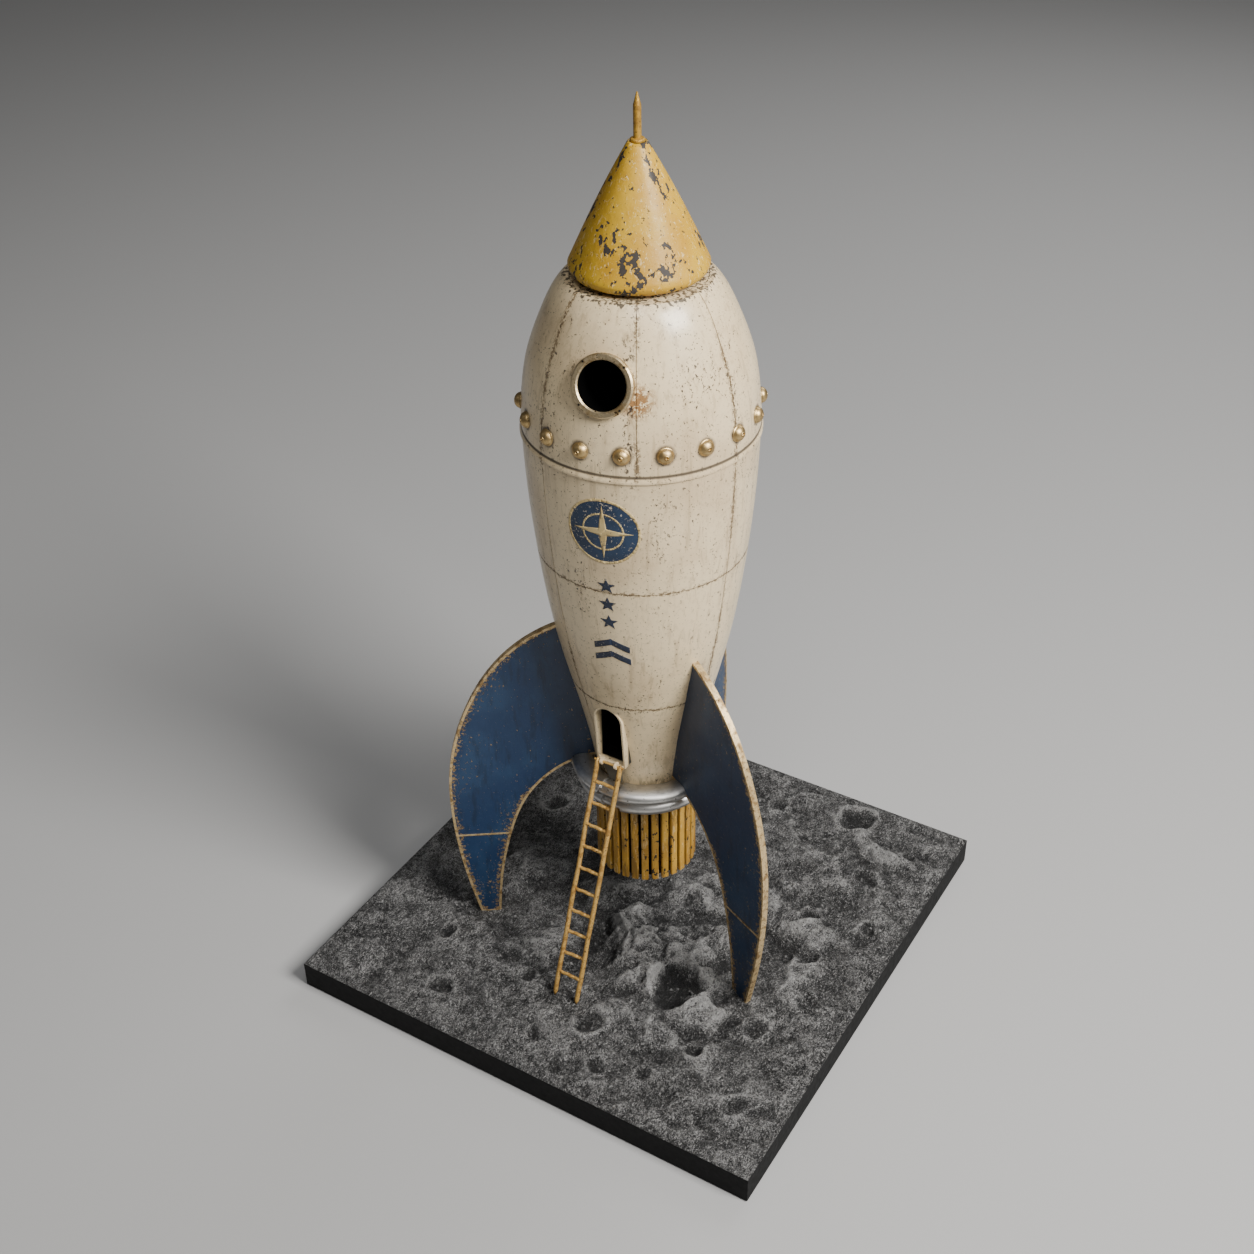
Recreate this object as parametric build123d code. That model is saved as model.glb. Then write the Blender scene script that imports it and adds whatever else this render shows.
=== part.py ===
from build123d import *
import os
from math import atan2, cos, degrees, radians, sin, sqrt

# Retro rocket display model standing on a square lunar diorama slab.
# Millimetres.  Origin: centre of the slab's underside.  +Z is up, the ladder
# and doorway face -Y, and the slab's edges run along X and Y.

# ---------------------------------------------------------------- base
BASE_SIDE = 300.0          # square slab, edge to edge
FELT_THICK = 1.0           # anti-slip sheet glued underneath
FELT_INSET = 3.0           # how far the sheet stays back from the slab's edges
SLAB_THICK = 13.0          # black lacquered board
SOIL_THICK = 4.0           # cast lunar soil skin on the board
SOIL_Z = FELT_THICK + SLAB_THICK + SOIL_THICK      # level ground
# Craters in the soil: x, y, mouth radius
CRATERS = [(55, -56, 13), (82, 128, 9), (112, 82, 5.5), (97, 44, 5), (22, -112, 8),
           (112, -62, 6), (118, 4, 6), (-70, -124, 7), (-96, -92, 5), (-100, 48, 6)]
CRATER_STEEPNESS = 0.2     # depth over mouth radius
# Rock mounds standing on the soil: x, y, foot radius, height
MOUNDS = [(12, -32, 27, 13), (56, -4, 20, 8), (97, 20, 17, 7), (76, 82, 16, 5),
          (-34, -62, 17, 4), (-58, 40, 18, 4)]

# ---------------------------------------------------------------- hull
HULL_WALL = 2.0
HULL_FOOT_Z = 135.0        # lower edge of the lower hull
HULL_FOOT_R = 28.5
HULL_WAIST_R = 60.6        # widest radius, at the main seam
SEAM_Z = 357.3             # main seam between lower hull and dome
SEAM_GAP = 0.2
DOME_TOP_Z = 435.3         # rim of the dome's top opening
DOME_TOP_R = 36.5
BAND_HEIGHT = 3.8          # bevelled band just under the main seam
BAND_PROUD = 0.9
PANEL_GROOVE = 0.4         # width and depth of the panel lines
PANEL_COUNT = 7
PANEL_AZ = -61.0           # direction of the first panel line
LOWER_SEAM_Z = 286.0       # horizontal panel line round the lower hull
DOOR_SEAM_Z = 201.0        # horizontal panel line above the doorway

JOINT_RING_R = 57.6        # backing ring behind the main seam
JOINT_RING_WALL = 2.0
JOINT_RING_BELOW = 12.0
JOINT_RING_ABOVE = 16.0

RIVET_COUNT = 18
RIVET_ABOVE_SEAM = 11.0
RIVET_HEAD_R = 4.4
RIVET_HEAD_HEIGHT = 3.2
RIVET_SHANK_R = 2.0
RIVET_SHANK_LENGTH = 6.5
RIVET_PINHOLE_R = 0.8
RIVET_PINHOLE_DEPTH = 1.4
RIVET_HOLE_CLEARANCE = 0.1

# ---------------------------------------------------------------- porthole
COLUMN_AZ = -78.0          # porthole and badge column, between two rivets
PORT_Z = 401.7
PORT_TILT = 20.4           # how far the porthole looks up
PORT_RING_R = 15.4
PORT_BORE_R = 12.1
PORT_PROUD = 1.9           # flange face above the shell at the porthole's centre
PORT_CUP_WALL = 1.2
PORT_CUP_DEPTH = 18.0
PORT_CUP_RECESS = 1.2      # cup mouth behind the flange face
PORT_SCREWS = 4
PORT_SCREW_R = 0.55
PORT_SCREW_LENGTH = 2.0

# ---------------------------------------------------------------- doorway
DOOR_AZ = -90.0            # the doorway's direction is -Y
DOOR_HALF = 9.0            # half of the portal's outer width
DOOR_SILL_Z = 157.0
DOOR_SPRING_Z = 188.0      # where the arch begins
DOOR_FRONT_Y = -36.8       # portal face at sill height
DOOR_LEAN = 4.5            # portal face leans out towards its top
DOOR_BACK_Y = -24.0
PORTAL_WALL = 1.0
POCKET_BACK_Y = -13.0
POCKET_WALL = 1.2
SILL_THICK = 1.6
SILL_PROUD = 0.6
APRON_THICK = 1.4
APRON_FOOT_Z = 140.6
APRON_TOP_HALF = 6.0
APRON_FOOT_HALF = 3.9
APRON_FOOT_Y = -33.0

# ---------------------------------------------------------------- ladder
PIVOT_Y = -39.4
PIVOT_Z = 157.4
RAIL_R = 1.4
RAIL_GAP = 14.8            # rail centre to rail centre
LADDER_FOOT_Y = -94.0
LADDER_GROUND_GAP = 0.3
RAIL_STUB = 1.8            # rail beyond the pivot
RUNG_COUNT = 10
RUNG_R = 0.95
RUNG_FIRST = 12.4          # from the pivot
RUNG_PITCH = 13.5
PIN_R = 0.7
PIN_CLEARANCE = 0.05
PIN_OVERHANG = 0.5
LUG_R = 1.7
LUG_THICK = 1.6
LUG_X = 4.6                # centre of each sill lug

# ---------------------------------------------------------------- rings and engine
RING_GAP = 0.5
RING_WALL = 1.2
RING_INNER_R = 29.0
UPPER_RING_A = 7.0         # half width of the oval tube
UPPER_RING_B = 4.5         # half height of the oval tube
LOWER_RING_A = 5.5
LOWER_RING_B = 4.5
LOWER_RING_Z = 122.0       # underside of the lower ring
RING_SPLIT = 9.0           # half angle of the split under the door
SLEEVE_HALF = 17.0         # half angle of the sleeve inside each split
SLEEVE_CLEARANCE = 0.2
THROAT_R = 28.8
THROAT_WALL = 3.0
NOZZLE_PLATE_R = 33.0
NOZZLE_PLATE_THICK = 2.0
NOZZLE_BOTTOM_Z = 64.0
NOZZLE_R = 29.4            # outside of the slats
SLAT_COUNT = 30
SLAT_WIDTH = 4.2
SLAT_DEPTH = 2.1
SLAT_ROUND = 0.7
LINER_WALL = 1.4
LINER_RECESS = 2.0         # liner ends above the slats
HOOP_HEIGHT = 5.0
HOOP_WALL = 1.4
THRUST_PLATE_THICK = 4.0
THRUST_PLATE_LIFT = 1.2
BOLT_COUNT = 4
BOLT_CIRCLE_R = 18.0
BOLT_R = 2.0
BOLT_HEAD_R = 3.6
BOLT_HEAD_HEIGHT = 2.8
BOLT_HOLE_CLEARANCE = 0.2
NUT_FLATS = 7.0
NUT_HEIGHT = 3.2
BOLT_STANDOUT = 1.5

# ---------------------------------------------------------------- fins
FIN_AZIMUTHS = {"left": 215.0, "right": -25.0, "rear": 95.0}
FIN_THICK = 3.2
FIN_TRIM = 1.5             # width of the edge binding
FIN_TRIM_PROUD = 0.2
INSET_POINTS = 14          # points on each inset fin edge
FIN_SEAM_Z = 82.0          # joint between fin and foot
SEAM_STRIP_THICK = 1.0
SEAM_STRIP_PROUD = 0.2
DOWEL_R = 0.8
DOWEL_HALF = 5.0
DOWEL_X = (88.0, 106.0)
# Fin outline in its own plane: radius from the axis, height above the ground.
FIN_OUTER = [(30, 218.5), (52, 213), (78, 195), (100, 162), (114, 112), (114.6, 76), (110, 36), (102.5, 0)]
FIN_INNER = [(90.5, 0), (87, 34), (80, 66), (69, 93), (50, 113), (30, 121.5)]
FIN_ROOT_R = 14.0          # the outline runs on inside the hull and is cut back to it
TAB_HEIGHT = 11.0
TAB_HEIGHTS = (173.0, 213.0)
TAB_REACH = 5.0            # how far a tab comes through the wall
TAB_CLEARANCE = 0.15
LOCK_PIN_R = 1.0
LOCK_PIN_OVERHANG = 2.0
RING_NOTCH = 0.2           # clearance of the fin round the upper ring
FOOT_PIN_R = 1.0
FOOT_PIN_RADIUS = 96.5     # from the rocket's axis
FOOT_PIN_UP = 12.0
FOOT_PIN_DOWN = 9.0

# ---------------------------------------------------------------- nose
NECK_THICK = 4.0
NECK_SEAT_R = 27.0
NECK_SEAT_HEIGHT = 1.5
NECK_FIT = 0.3             # neck disc inside the dome's rim
SOCKET_R = 12.0
SOCKET_WALL = 3.5
SPIGOT_CLEARANCE = 0.06
SPIGOT_LENGTH = 15.0
SPIGOT_END_GAP = 1.5
NOSE_R = 34.2
NOSE_LIP_HEIGHT = 5.0
NOSE_LIP_TUCK = 1.6
NOSE_TOP_R = 4.2
NOSE_TOP_Z = 499.7
NOSE_RECESS = 1.6          # hollow under the lip
COLLAR_R = 3.6
COLLAR_HEIGHT = 1.4
NEEDLE_R = 1.9
NEEDLE_TOP_Z = 522.0
NEEDLE_POINT = 6.0
NEEDLE_SINK = 8.0

os.makedirs("parts", exist_ok=True)


def save(name, shape):
    """Write one node, kept as a group of solids when it has several."""
    pieces = shape if isinstance(shape, list) else [shape]
    solids = [solid for piece in pieces for solid in piece.solids()]
    export_step(solids[0] if len(solids) == 1 else Compound(children=list(solids)), f"parts/{name}.step")


def tube(outer, inner, height, z):
    """Round tube standing on z."""
    align = (Align.CENTER, Align.CENTER, Align.MIN)
    return Pos(0, 0, z) * (Cylinder(outer, height, align=align) - Cylinder(inner, height, align=align))


def disc(radius, height, z):
    """Round plate standing on z."""
    return Pos(0, 0, z) * Cylinder(radius, height, align=(Align.CENTER, Align.CENTER, Align.MIN))


def turned(*edges):
    """Solid turned about Z from a closed outline in the XZ plane."""
    return revolve(make_face(edges), Axis.Z)


def turned_points(points):
    """Solid turned about Z from straight lines through (radius, z) points."""
    corners = [(r, 0, z) for r, z in points]
    return turned(*(Line(a, b) for a, b in zip(corners, corners[1:] + corners[:1])))


def about_z(shape, azimuth):
    """Turn a piece that was made along +X to the given direction."""
    return Rot(0, 0, azimuth) * shape


# ------------------------------------------------------------------ hull curves
def hull_curve(inset):
    """Lower hull's outline, moved in by a wall."""
    points = [(HULL_FOOT_R, HULL_FOOT_Z), (37.3, 183.0), (47.6, 228.0), (54.6, 273.0),
              (59.0, 318.0), (HULL_WAIST_R, SEAM_Z)]
    return Spline([(r - inset, 0, z) for r, z in points])


def dome_curve(inset):
    """Dome's outline, moved in by a wall."""
    points = [(HULL_WAIST_R, SEAM_Z), (60.0, 370.0), (56.6, 393.0), (48.6, 415.5)]
    lean = radians(48)
    # The top point steps in along the slope's normal, so the wall keeps its thickness.
    inner = [(r - inset, z - inset * 0.1 * i) for i, (r, z) in enumerate(points)]
    top = (DOME_TOP_R - inset / cos(radians(90) - lean), DOME_TOP_Z)
    return Spline([(r, 0, z) for r, z in inner + [top]], tangents=((0, 0, 1), (-sin(lean), 0, cos(lean))))


def filled(curve):
    """Solid of revolution under a curve, closed to the axis."""
    low, high = curve @ 0, curve @ 1
    return turned(curve, Line(high, (0, 0, high.Z)), Line((0, 0, high.Z), (0, 0, low.Z)), Line((0, 0, low.Z), low))


def radius_on(curve, z):
    """Radius of a curve at height z."""
    low, high = 0.0, 1.0
    for _ in range(40):
        mid = (low + high) / 2
        low, high = (mid, high) if (curve @ mid).Z < z else (low, mid)
    return (curve @ low).X


def tilt_on(curve, z):
    """How far the surface of a curve looks up at height z, in degrees."""
    step = 0.5
    return degrees(atan2(radius_on(curve, z - step) - radius_on(curve, z + step), 2 * step))


hull_outer = hull_curve(0)
dome_outer = dome_curve(0)
hull_solid = filled(hull_outer)
dome_solid = filled(dome_outer)


def meridian_lines(solid, curve, first_z, last_z, skipped=0):
    """Thin radial blades that cut the panel lines, less the first few, to their depth."""
    blades = []
    count = PANEL_COUNT
    height = last_z - first_z
    core = filled(curve(PANEL_GROOVE))
    for i in range(skipped, count):
        blade = Pos(HULL_WAIST_R / 2, 0, (first_z + last_z) / 2) * Box(HULL_WAIST_R + 4, PANEL_GROOVE, height)
        blades.append(about_z(blade, PANEL_AZ + i * 360 / count) - core)
    return blades


def ring_line(curve, z):
    """Shallow groove round the hull at height z."""
    radius = radius_on(curve, z)
    return tube(radius + 2, radius - PANEL_GROOVE, PANEL_GROOVE, z)


# ------------------------------------------------------------------ doorway outline
def arch(half, sill, front, back):
    """Arched block along Y; its foot lies on sill."""
    height = DOOR_SPRING_Z - sill
    outline = Pos(0, sill + height / 2) * Rectangle(2 * half, height) + Pos(0, DOOR_SPRING_Z) * Circle(half)
    outline = outline & (Pos(0, sill + 60) * Rectangle(4 * half, 120))
    block = extrude(Plane.XZ * outline, amount=-(back - front))
    return Pos(0, front, 0) * block


door_slope = sin(radians(DOOR_LEAN)) / cos(radians(DOOR_LEAN))


def before_portal_face():
    """Everything in front of the leaning portal face."""
    slab = Box(60, 30, 120, align=(Align.CENTER, Align.MAX, Align.MIN))
    return Pos(0, DOOR_FRONT_Y, DOOR_SILL_Z - SILL_THICK) * Rot(DOOR_LEAN, 0, 0) * Pos(0, 0, -20) * slab


# ------------------------------------------------------------------ base
save("base_felt", Box(BASE_SIDE - 2 * FELT_INSET, BASE_SIDE - 2 * FELT_INSET, FELT_THICK,
                      align=(Align.CENTER, Align.CENTER, Align.MIN)))

foot_pin_holes = []
foot_pins = []
for azimuth in FIN_AZIMUTHS.values():
    pin = disc(FOOT_PIN_R, FOOT_PIN_UP + FOOT_PIN_DOWN, SOIL_Z - FOOT_PIN_DOWN)
    foot_pins.append(about_z(Pos(FOOT_PIN_RADIUS, 0, 0) * pin, azimuth))

slab = Pos(0, 0, FELT_THICK) * Box(BASE_SIDE, BASE_SIDE, SLAB_THICK, align=(Align.CENTER, Align.CENTER, Align.MIN))
save("base_slab", slab - foot_pins)

soil = Pos(0, 0, SOIL_Z - SOIL_THICK) * Box(BASE_SIDE, BASE_SIDE, SOIL_THICK,
                                            align=(Align.CENTER, Align.CENTER, Align.MIN))


def cap(x, y, radius, height, side):
    """Ball segment of a given mouth radius; side is +1 above the ground, -1 below."""
    ball = (radius ** 2 + height ** 2) / (2 * height)
    return Pos(x, y, SOIL_Z - side * (ball - height)) * Sphere(ball)


for x, y, radius in CRATERS:
    soil -= cap(x, y, radius, radius * CRATER_STEEPNESS, -1)
save("moon_soil", soil - foot_pins)
above_ground = Pos(0, 0, SOIL_Z) * Box(BASE_SIDE, BASE_SIDE, 60, align=(Align.CENTER, Align.CENTER, Align.MIN))
save("moon_mounds", [cap(*mound, 1) & above_ground for mound in MOUNDS])
save("foot_pins", foot_pins)

# ------------------------------------------------------------------ ring tubes
upper_ring_z = LOWER_RING_Z + 2 * LOWER_RING_B + RING_GAP + UPPER_RING_B
lower_ring_z = LOWER_RING_Z + LOWER_RING_B


def oval_ring(a, b, z, first, sweep, grow=0.0):
    """Part of an oval ring whose inside lies on RING_INNER_R."""
    section = Plane.XZ * Pos(RING_INNER_R + a, z) * Ellipse(a + grow, b + grow)
    return Rot(0, 0, first) * revolve(section, Axis.Z, revolution_arc=sweep)


def split_ring(a, b, z):
    """Hollow ring, open under the door."""
    first, sweep = DOOR_AZ + RING_SPLIT, 360 - 2 * RING_SPLIT
    return oval_ring(a, b, z, first, sweep) - oval_ring(a, b, z, first, sweep, -RING_WALL)


def sleeve(a, b, z):
    """Solid sleeve that joins the two open ends of a ring."""
    return oval_ring(a, b, z, DOOR_AZ - SLEEVE_HALF, 2 * SLEEVE_HALF, -RING_WALL - SLEEVE_CLEARANCE)


save("upper_ring", split_ring(UPPER_RING_A, UPPER_RING_B, upper_ring_z))
save("lower_ring", split_ring(LOWER_RING_A, LOWER_RING_B, lower_ring_z))
save("ring_sleeves", [sleeve(UPPER_RING_A, UPPER_RING_B, upper_ring_z),
                      sleeve(LOWER_RING_A, LOWER_RING_B, lower_ring_z)])
save("ring_spacer", tube(RING_INNER_R + LOWER_RING_A, THROAT_R, RING_GAP, LOWER_RING_Z + 2 * LOWER_RING_B))

# ------------------------------------------------------------------ engine
plate_z = LOWER_RING_Z - NOZZLE_PLATE_THICK
throat_top = HULL_FOOT_Z
thrust_z = HULL_FOOT_Z + THRUST_PLATE_LIFT
slat_length = plate_z - NOZZLE_BOTTOM_Z
liner_r = NOZZLE_R - SLAT_DEPTH
liner_inner = liner_r - LINER_WALL


def around(count, piece, first=0.0):
    """Copies of a piece, evenly round the axis."""
    return [about_z(piece, first + i * 360 / count) for i in range(count)]


bolt_holes = around(BOLT_COUNT, Pos(BOLT_CIRCLE_R, 0, 0) * disc(BOLT_R + BOLT_HOLE_CLEARANCE, 60, plate_z - 10), 45)
save("nozzle_plate", disc(NOZZLE_PLATE_R, NOZZLE_PLATE_THICK, plate_z) - bolt_holes)
save("throat_tube", tube(THROAT_R, THROAT_R - THROAT_WALL, throat_top - LOWER_RING_Z, LOWER_RING_Z))
save("nozzle_liner", tube(liner_r, liner_inner, slat_length - LINER_RECESS, NOZZLE_BOTTOM_Z + LINER_RECESS))
save("nozzle_hoop", tube(liner_inner, liner_inner - HOOP_WALL, HOOP_HEIGHT, NOZZLE_BOTTOM_Z + LINER_RECESS + 1))

slat = Pos(liner_r + SLAT_DEPTH / 2, 0, NOZZLE_BOTTOM_Z + slat_length / 2) * Box(SLAT_DEPTH, SLAT_WIDTH, slat_length)
slat -= disc(liner_r, slat_length, NOZZLE_BOTTOM_Z)
slat = fillet(slat.edges().filter_by(Axis.Z).group_by(Axis.X)[-1], SLAT_ROUND)
save("nozzle_slats", around(SLAT_COUNT, slat, PANEL_AZ))

thrust_r = radius_on(hull_outer, thrust_z) - HULL_WALL - 0.1
save("thrust_plate", disc(thrust_r, THRUST_PLATE_THICK, thrust_z) - bolt_holes)
bolt_top = thrust_z + THRUST_PLATE_THICK + NUT_HEIGHT + BOLT_STANDOUT
bolt = disc(BOLT_R, bolt_top - plate_z, plate_z) + disc(BOLT_HEAD_R, BOLT_HEAD_HEIGHT, plate_z - BOLT_HEAD_HEIGHT)
save("engine_bolts", around(BOLT_COUNT, Pos(BOLT_CIRCLE_R, 0, 0) * bolt, 45))
nut = extrude(RegularPolygon(NUT_FLATS / 2, 6, major_radius=False), NUT_HEIGHT)
nut = Pos(0, 0, thrust_z + THRUST_PLATE_THICK) * nut - disc(BOLT_R, bolt_top, 0)
save("engine_nuts", around(BOLT_COUNT, Pos(BOLT_CIRCLE_R, 0, 0) * nut, 45))


# ------------------------------------------------------------------ fins
def inset_curve(curve, distance):
    """Spline that keeps a set distance to the right of a curve in the XZ plane."""
    points = []
    for i in range(INSET_POINTS + 1):
        along = curve % (i / INSET_POINTS)
        points.append(curve @ (i / INSET_POINTS) + Vector(along.Z, 0, -along.X) * distance)
    return Spline(points)


def fin_outline(inset):
    """Closed fin outline in the XZ plane, running on inside the hull."""
    outer = inset_curve(Spline([(r, 0, SOIL_Z + z) for r, z in FIN_OUTER]), inset)
    inner = inset_curve(Spline([(r, 0, SOIL_Z + z) for r, z in FIN_INNER]), inset)
    low_root = (FIN_ROOT_R, 0, (inner @ 1).Z)
    top_root = (FIN_ROOT_R, 0, (outer @ 0).Z)
    return make_face([outer, Line(outer @ 1, inner @ 0), inner, Line(inner @ 1, low_root),
                      Line(low_root, top_root), Line(top_root, outer @ 0)])


def plate_of(face, thickness):
    """Plate of even thickness either side of the XZ plane."""
    return extrude(face, thickness / 2, both=True)


def height_slice(low, high):
    """Block that keeps what lies between two heights."""
    return Pos(0, 0, low) * Box(400, 400, high - low, align=(Align.CENTER, Align.CENTER, Align.MIN))


outline = fin_outline(0)
inner_outline = fin_outline(FIN_TRIM)
panel_all = plate_of(inner_outline, FIN_THICK)
trim_core = plate_of(inner_outline, 3 * FIN_THICK) & height_slice(SOIL_Z + FIN_TRIM, 400)
trim_all = plate_of(outline, FIN_THICK + 2 * FIN_TRIM_PROUD) - trim_core
ring_space = oval_ring(UPPER_RING_A, UPPER_RING_B, upper_ring_z, 0, 360, RING_NOTCH)
ring_space += tube(RING_INNER_R + UPPER_RING_A, THROAT_R - THROAT_WALL, HULL_FOOT_Z - LOWER_RING_Z, LOWER_RING_Z)
half_strip = SEAM_STRIP_THICK / 2
upper_part = height_slice(FIN_SEAM_Z + half_strip, 400)
lower_part = height_slice(SOIL_Z, FIN_SEAM_Z - half_strip)
above_sole = height_slice(SOIL_Z + FIN_TRIM, FIN_SEAM_Z - half_strip)
strip_part = height_slice(FIN_SEAM_Z - half_strip, FIN_SEAM_Z + half_strip)

dowels = [Pos(x, 0, FIN_SEAM_Z - DOWEL_HALF) * disc(DOWEL_R, 2 * DOWEL_HALF, 0) for x in DOWEL_X]
tab_r = [radius_on(hull_outer, z) for z in TAB_HEIGHTS]
# A tab starts at the hull's inside where the wall is nearest the axis, and passes out through it.
tabs = [Pos(r - HULL_WALL - TAB_REACH, 0, z) * Box(TAB_REACH + HULL_WALL + 4, FIN_THICK, TAB_HEIGHT,
                                                    align=(Align.MIN, Align.CENTER, Align.CENTER))
        for r, z in zip(tab_r, TAB_HEIGHTS)]
slots = [Pos(r - HULL_WALL - TAB_REACH, 0, z) * Box(TAB_REACH + HULL_WALL + 6, FIN_THICK + 2 * TAB_CLEARANCE,
                                                     TAB_HEIGHT + 2 * TAB_CLEARANCE,
                                                     align=(Align.MIN, Align.CENTER, Align.CENTER))
         for r, z in zip(tab_r, TAB_HEIGHTS)]
lock_pins = [Pos(r - HULL_WALL - TAB_REACH / 2 - LOCK_PIN_R, 0, z) * Rot(90, 0, 0)
             * Cylinder(LOCK_PIN_R, FIN_THICK + 2 * LOCK_PIN_OVERHANG) for r, z in zip(tab_r, TAB_HEIGHTS)]

fin_panel = (panel_all & upper_part) - ring_space - hull_solid
for tab in tabs:
    fin_panel += tab & (plate_of(outline, FIN_THICK) + hull_solid)
fin_panel = fin_panel - lock_pins - dowels
fin_trim = (trim_all & upper_part) - ring_space - hull_solid
foot_pin_at_x = Pos(FOOT_PIN_RADIUS, 0, 0) * disc(FOOT_PIN_R, FOOT_PIN_UP, SOIL_Z)
fin_foot = (panel_all & above_sole) - dowels - foot_pin_at_x
foot_trim = (trim_all & lower_part) - foot_pin_at_x
strip = plate_of(outline, FIN_THICK + 2 * (FIN_TRIM_PROUD + SEAM_STRIP_PROUD)) & strip_part

for side, azimuth in FIN_AZIMUTHS.items():
    save(f"fin_panel_{side}", about_z(fin_panel, azimuth))
    save(f"fin_trim_{side}", about_z(fin_trim, azimuth))
    save(f"fin_foot_{side}", about_z(fin_foot, azimuth))
    save(f"foot_trim_{side}", about_z(foot_trim, azimuth))
save("fin_seam_strips", [about_z(strip - dowels, azimuth) for azimuth in FIN_AZIMUTHS.values()])
save("fin_dowels", [about_z(dowel, azimuth) for azimuth in FIN_AZIMUTHS.values() for dowel in dowels])
save("fin_lock_pins", [about_z(pin, azimuth) for azimuth in FIN_AZIMUTHS.values() for pin in lock_pins])

# ------------------------------------------------------------------ doorway
portal_block = arch(DOOR_HALF, DOOR_SILL_Z - SILL_THICK, DOOR_FRONT_Y - 8, DOOR_BACK_Y)
portal_bore = arch(DOOR_HALF - PORTAL_WALL, DOOR_SILL_Z - SILL_THICK, DOOR_FRONT_Y - 9, DOOR_BACK_Y + 1)
portal = portal_block - portal_bore - before_portal_face()
save("door_portal", portal)

sill_half = DOOR_HALF - PORTAL_WALL
sill_front = DOOR_FRONT_Y - SILL_PROUD
sill = Pos(0, sill_front, DOOR_SILL_Z) * Box(2 * sill_half, DOOR_BACK_Y - sill_front, SILL_THICK,
                                             align=(Align.CENTER, Align.MIN, Align.MAX))
lug_blank = Pos(0, PIVOT_Y, PIVOT_Z) * Rot(0, 90, 0) * Cylinder(LUG_R, LUG_THICK)
lug_blank += Pos(0, PIVOT_Y, PIVOT_Z) * Box(LUG_THICK, sill_front - PIVOT_Y, 2 * LUG_R,
                                            align=(Align.CENTER, Align.MIN, Align.CENTER))
pin_bore = Pos(0, PIVOT_Y, PIVOT_Z) * Rot(0, 90, 0) * Cylinder(PIN_R + PIN_CLEARANCE, 2 * RAIL_GAP)
for x in (-LUG_X, LUG_X):
    sill += Pos(x, 0, 0) * lug_blank
save("door_sill", sill - pin_bore)

pocket_outer = arch(DOOR_HALF, DOOR_SILL_Z - SILL_THICK, DOOR_BACK_Y, POCKET_BACK_Y)
pocket_inner = arch(DOOR_HALF - POCKET_WALL, DOOR_SILL_Z - SILL_THICK + POCKET_WALL, DOOR_BACK_Y - 1,
                    POCKET_BACK_Y - POCKET_WALL)
save("door_pocket", pocket_outer - pocket_inner)

apron_top = DOOR_SILL_Z - SILL_THICK
apron_rise = apron_top - APRON_FOOT_Z
apron_run = DOOR_FRONT_Y - APRON_FOOT_Y
apron_lean = degrees(atan2(-apron_run, apron_rise))
apron_length = sqrt(apron_rise ** 2 + apron_run ** 2)
apron_face = make_face(Polyline((-APRON_FOOT_HALF, 0), (APRON_FOOT_HALF, 0), (APRON_TOP_HALF, apron_length),
                                (-APRON_TOP_HALF, apron_length), (-APRON_FOOT_HALF, 0)))
apron = Pos(0, APRON_FOOT_Y, APRON_FOOT_Z) * Rot(apron_lean, 0, 0) * extrude(Plane.XZ * apron_face, -APRON_THICK)
save("door_apron", apron & height_slice(0, apron_top) - hull_solid)

# ------------------------------------------------------------------ hull shells
door_cut = arch(DOOR_HALF + 0.1, DOOR_SILL_Z - SILL_THICK - 0.1, DOOR_FRONT_Y - 8, DOOR_BACK_Y + 3)
fin_slots = [about_z(slot, azimuth) for azimuth in FIN_AZIMUTHS.values() for slot in slots]
lower_hull = hull_solid - filled(hull_curve(HULL_WALL)) - door_cut - fin_slots
lower_hull = lower_hull & height_slice(0, SEAM_Z - SEAM_GAP)
for blade in meridian_lines(hull_solid, hull_curve, HULL_FOOT_Z + 8, SEAM_Z - BAND_HEIGHT - 4, 1):
    lower_hull -= blade
lower_hull = lower_hull - ring_line(hull_outer, LOWER_SEAM_Z) - ring_line(hull_outer, DOOR_SEAM_Z)
save("lower_hull", lower_hull)

band_low = SEAM_Z - SEAM_GAP - BAND_HEIGHT
band_r = HULL_WAIST_R + BAND_PROUD
band = turned_points([(HULL_WAIST_R - 1, band_low), (HULL_WAIST_R + 0.3, band_low), (band_r, band_low + 0.7),
                      (band_r, band_low + 1.6), (HULL_WAIST_R + 0.1, SEAM_Z - SEAM_GAP),
                      (HULL_WAIST_R - 1, SEAM_Z - SEAM_GAP)])
save("seam_band", band - hull_solid)

rivet_z = SEAM_Z + RIVET_ABOVE_SEAM
rivet_tilt = tilt_on(dome_outer, rivet_z)
rivet_seat = Pos(radius_on(dome_outer, rivet_z), 0, rivet_z) * Rot(0, 90 - rivet_tilt, 0)
head_ball = (RIVET_HEAD_R ** 2 + RIVET_HEAD_HEIGHT ** 2) / (2 * RIVET_HEAD_HEIGHT)
head = Pos(0, 0, RIVET_HEAD_HEIGHT - head_ball) * Sphere(head_ball) & disc(2 * RIVET_HEAD_R, 10, 0)
rivet = head + disc(RIVET_SHANK_R, RIVET_SHANK_LENGTH, -RIVET_SHANK_LENGTH)
rivet -= disc(RIVET_PINHOLE_R, 5, RIVET_HEAD_HEIGHT - RIVET_PINHOLE_DEPTH)
first_rivet = COLUMN_AZ + 180 / RIVET_COUNT
save("rivets", around(RIVET_COUNT, rivet_seat * rivet, first_rivet))
rivet_bore = rivet_seat * disc(RIVET_SHANK_R + RIVET_HOLE_CLEARANCE, 20, -15)
rivet_bores = around(RIVET_COUNT, rivet_bore, first_rivet)

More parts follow.
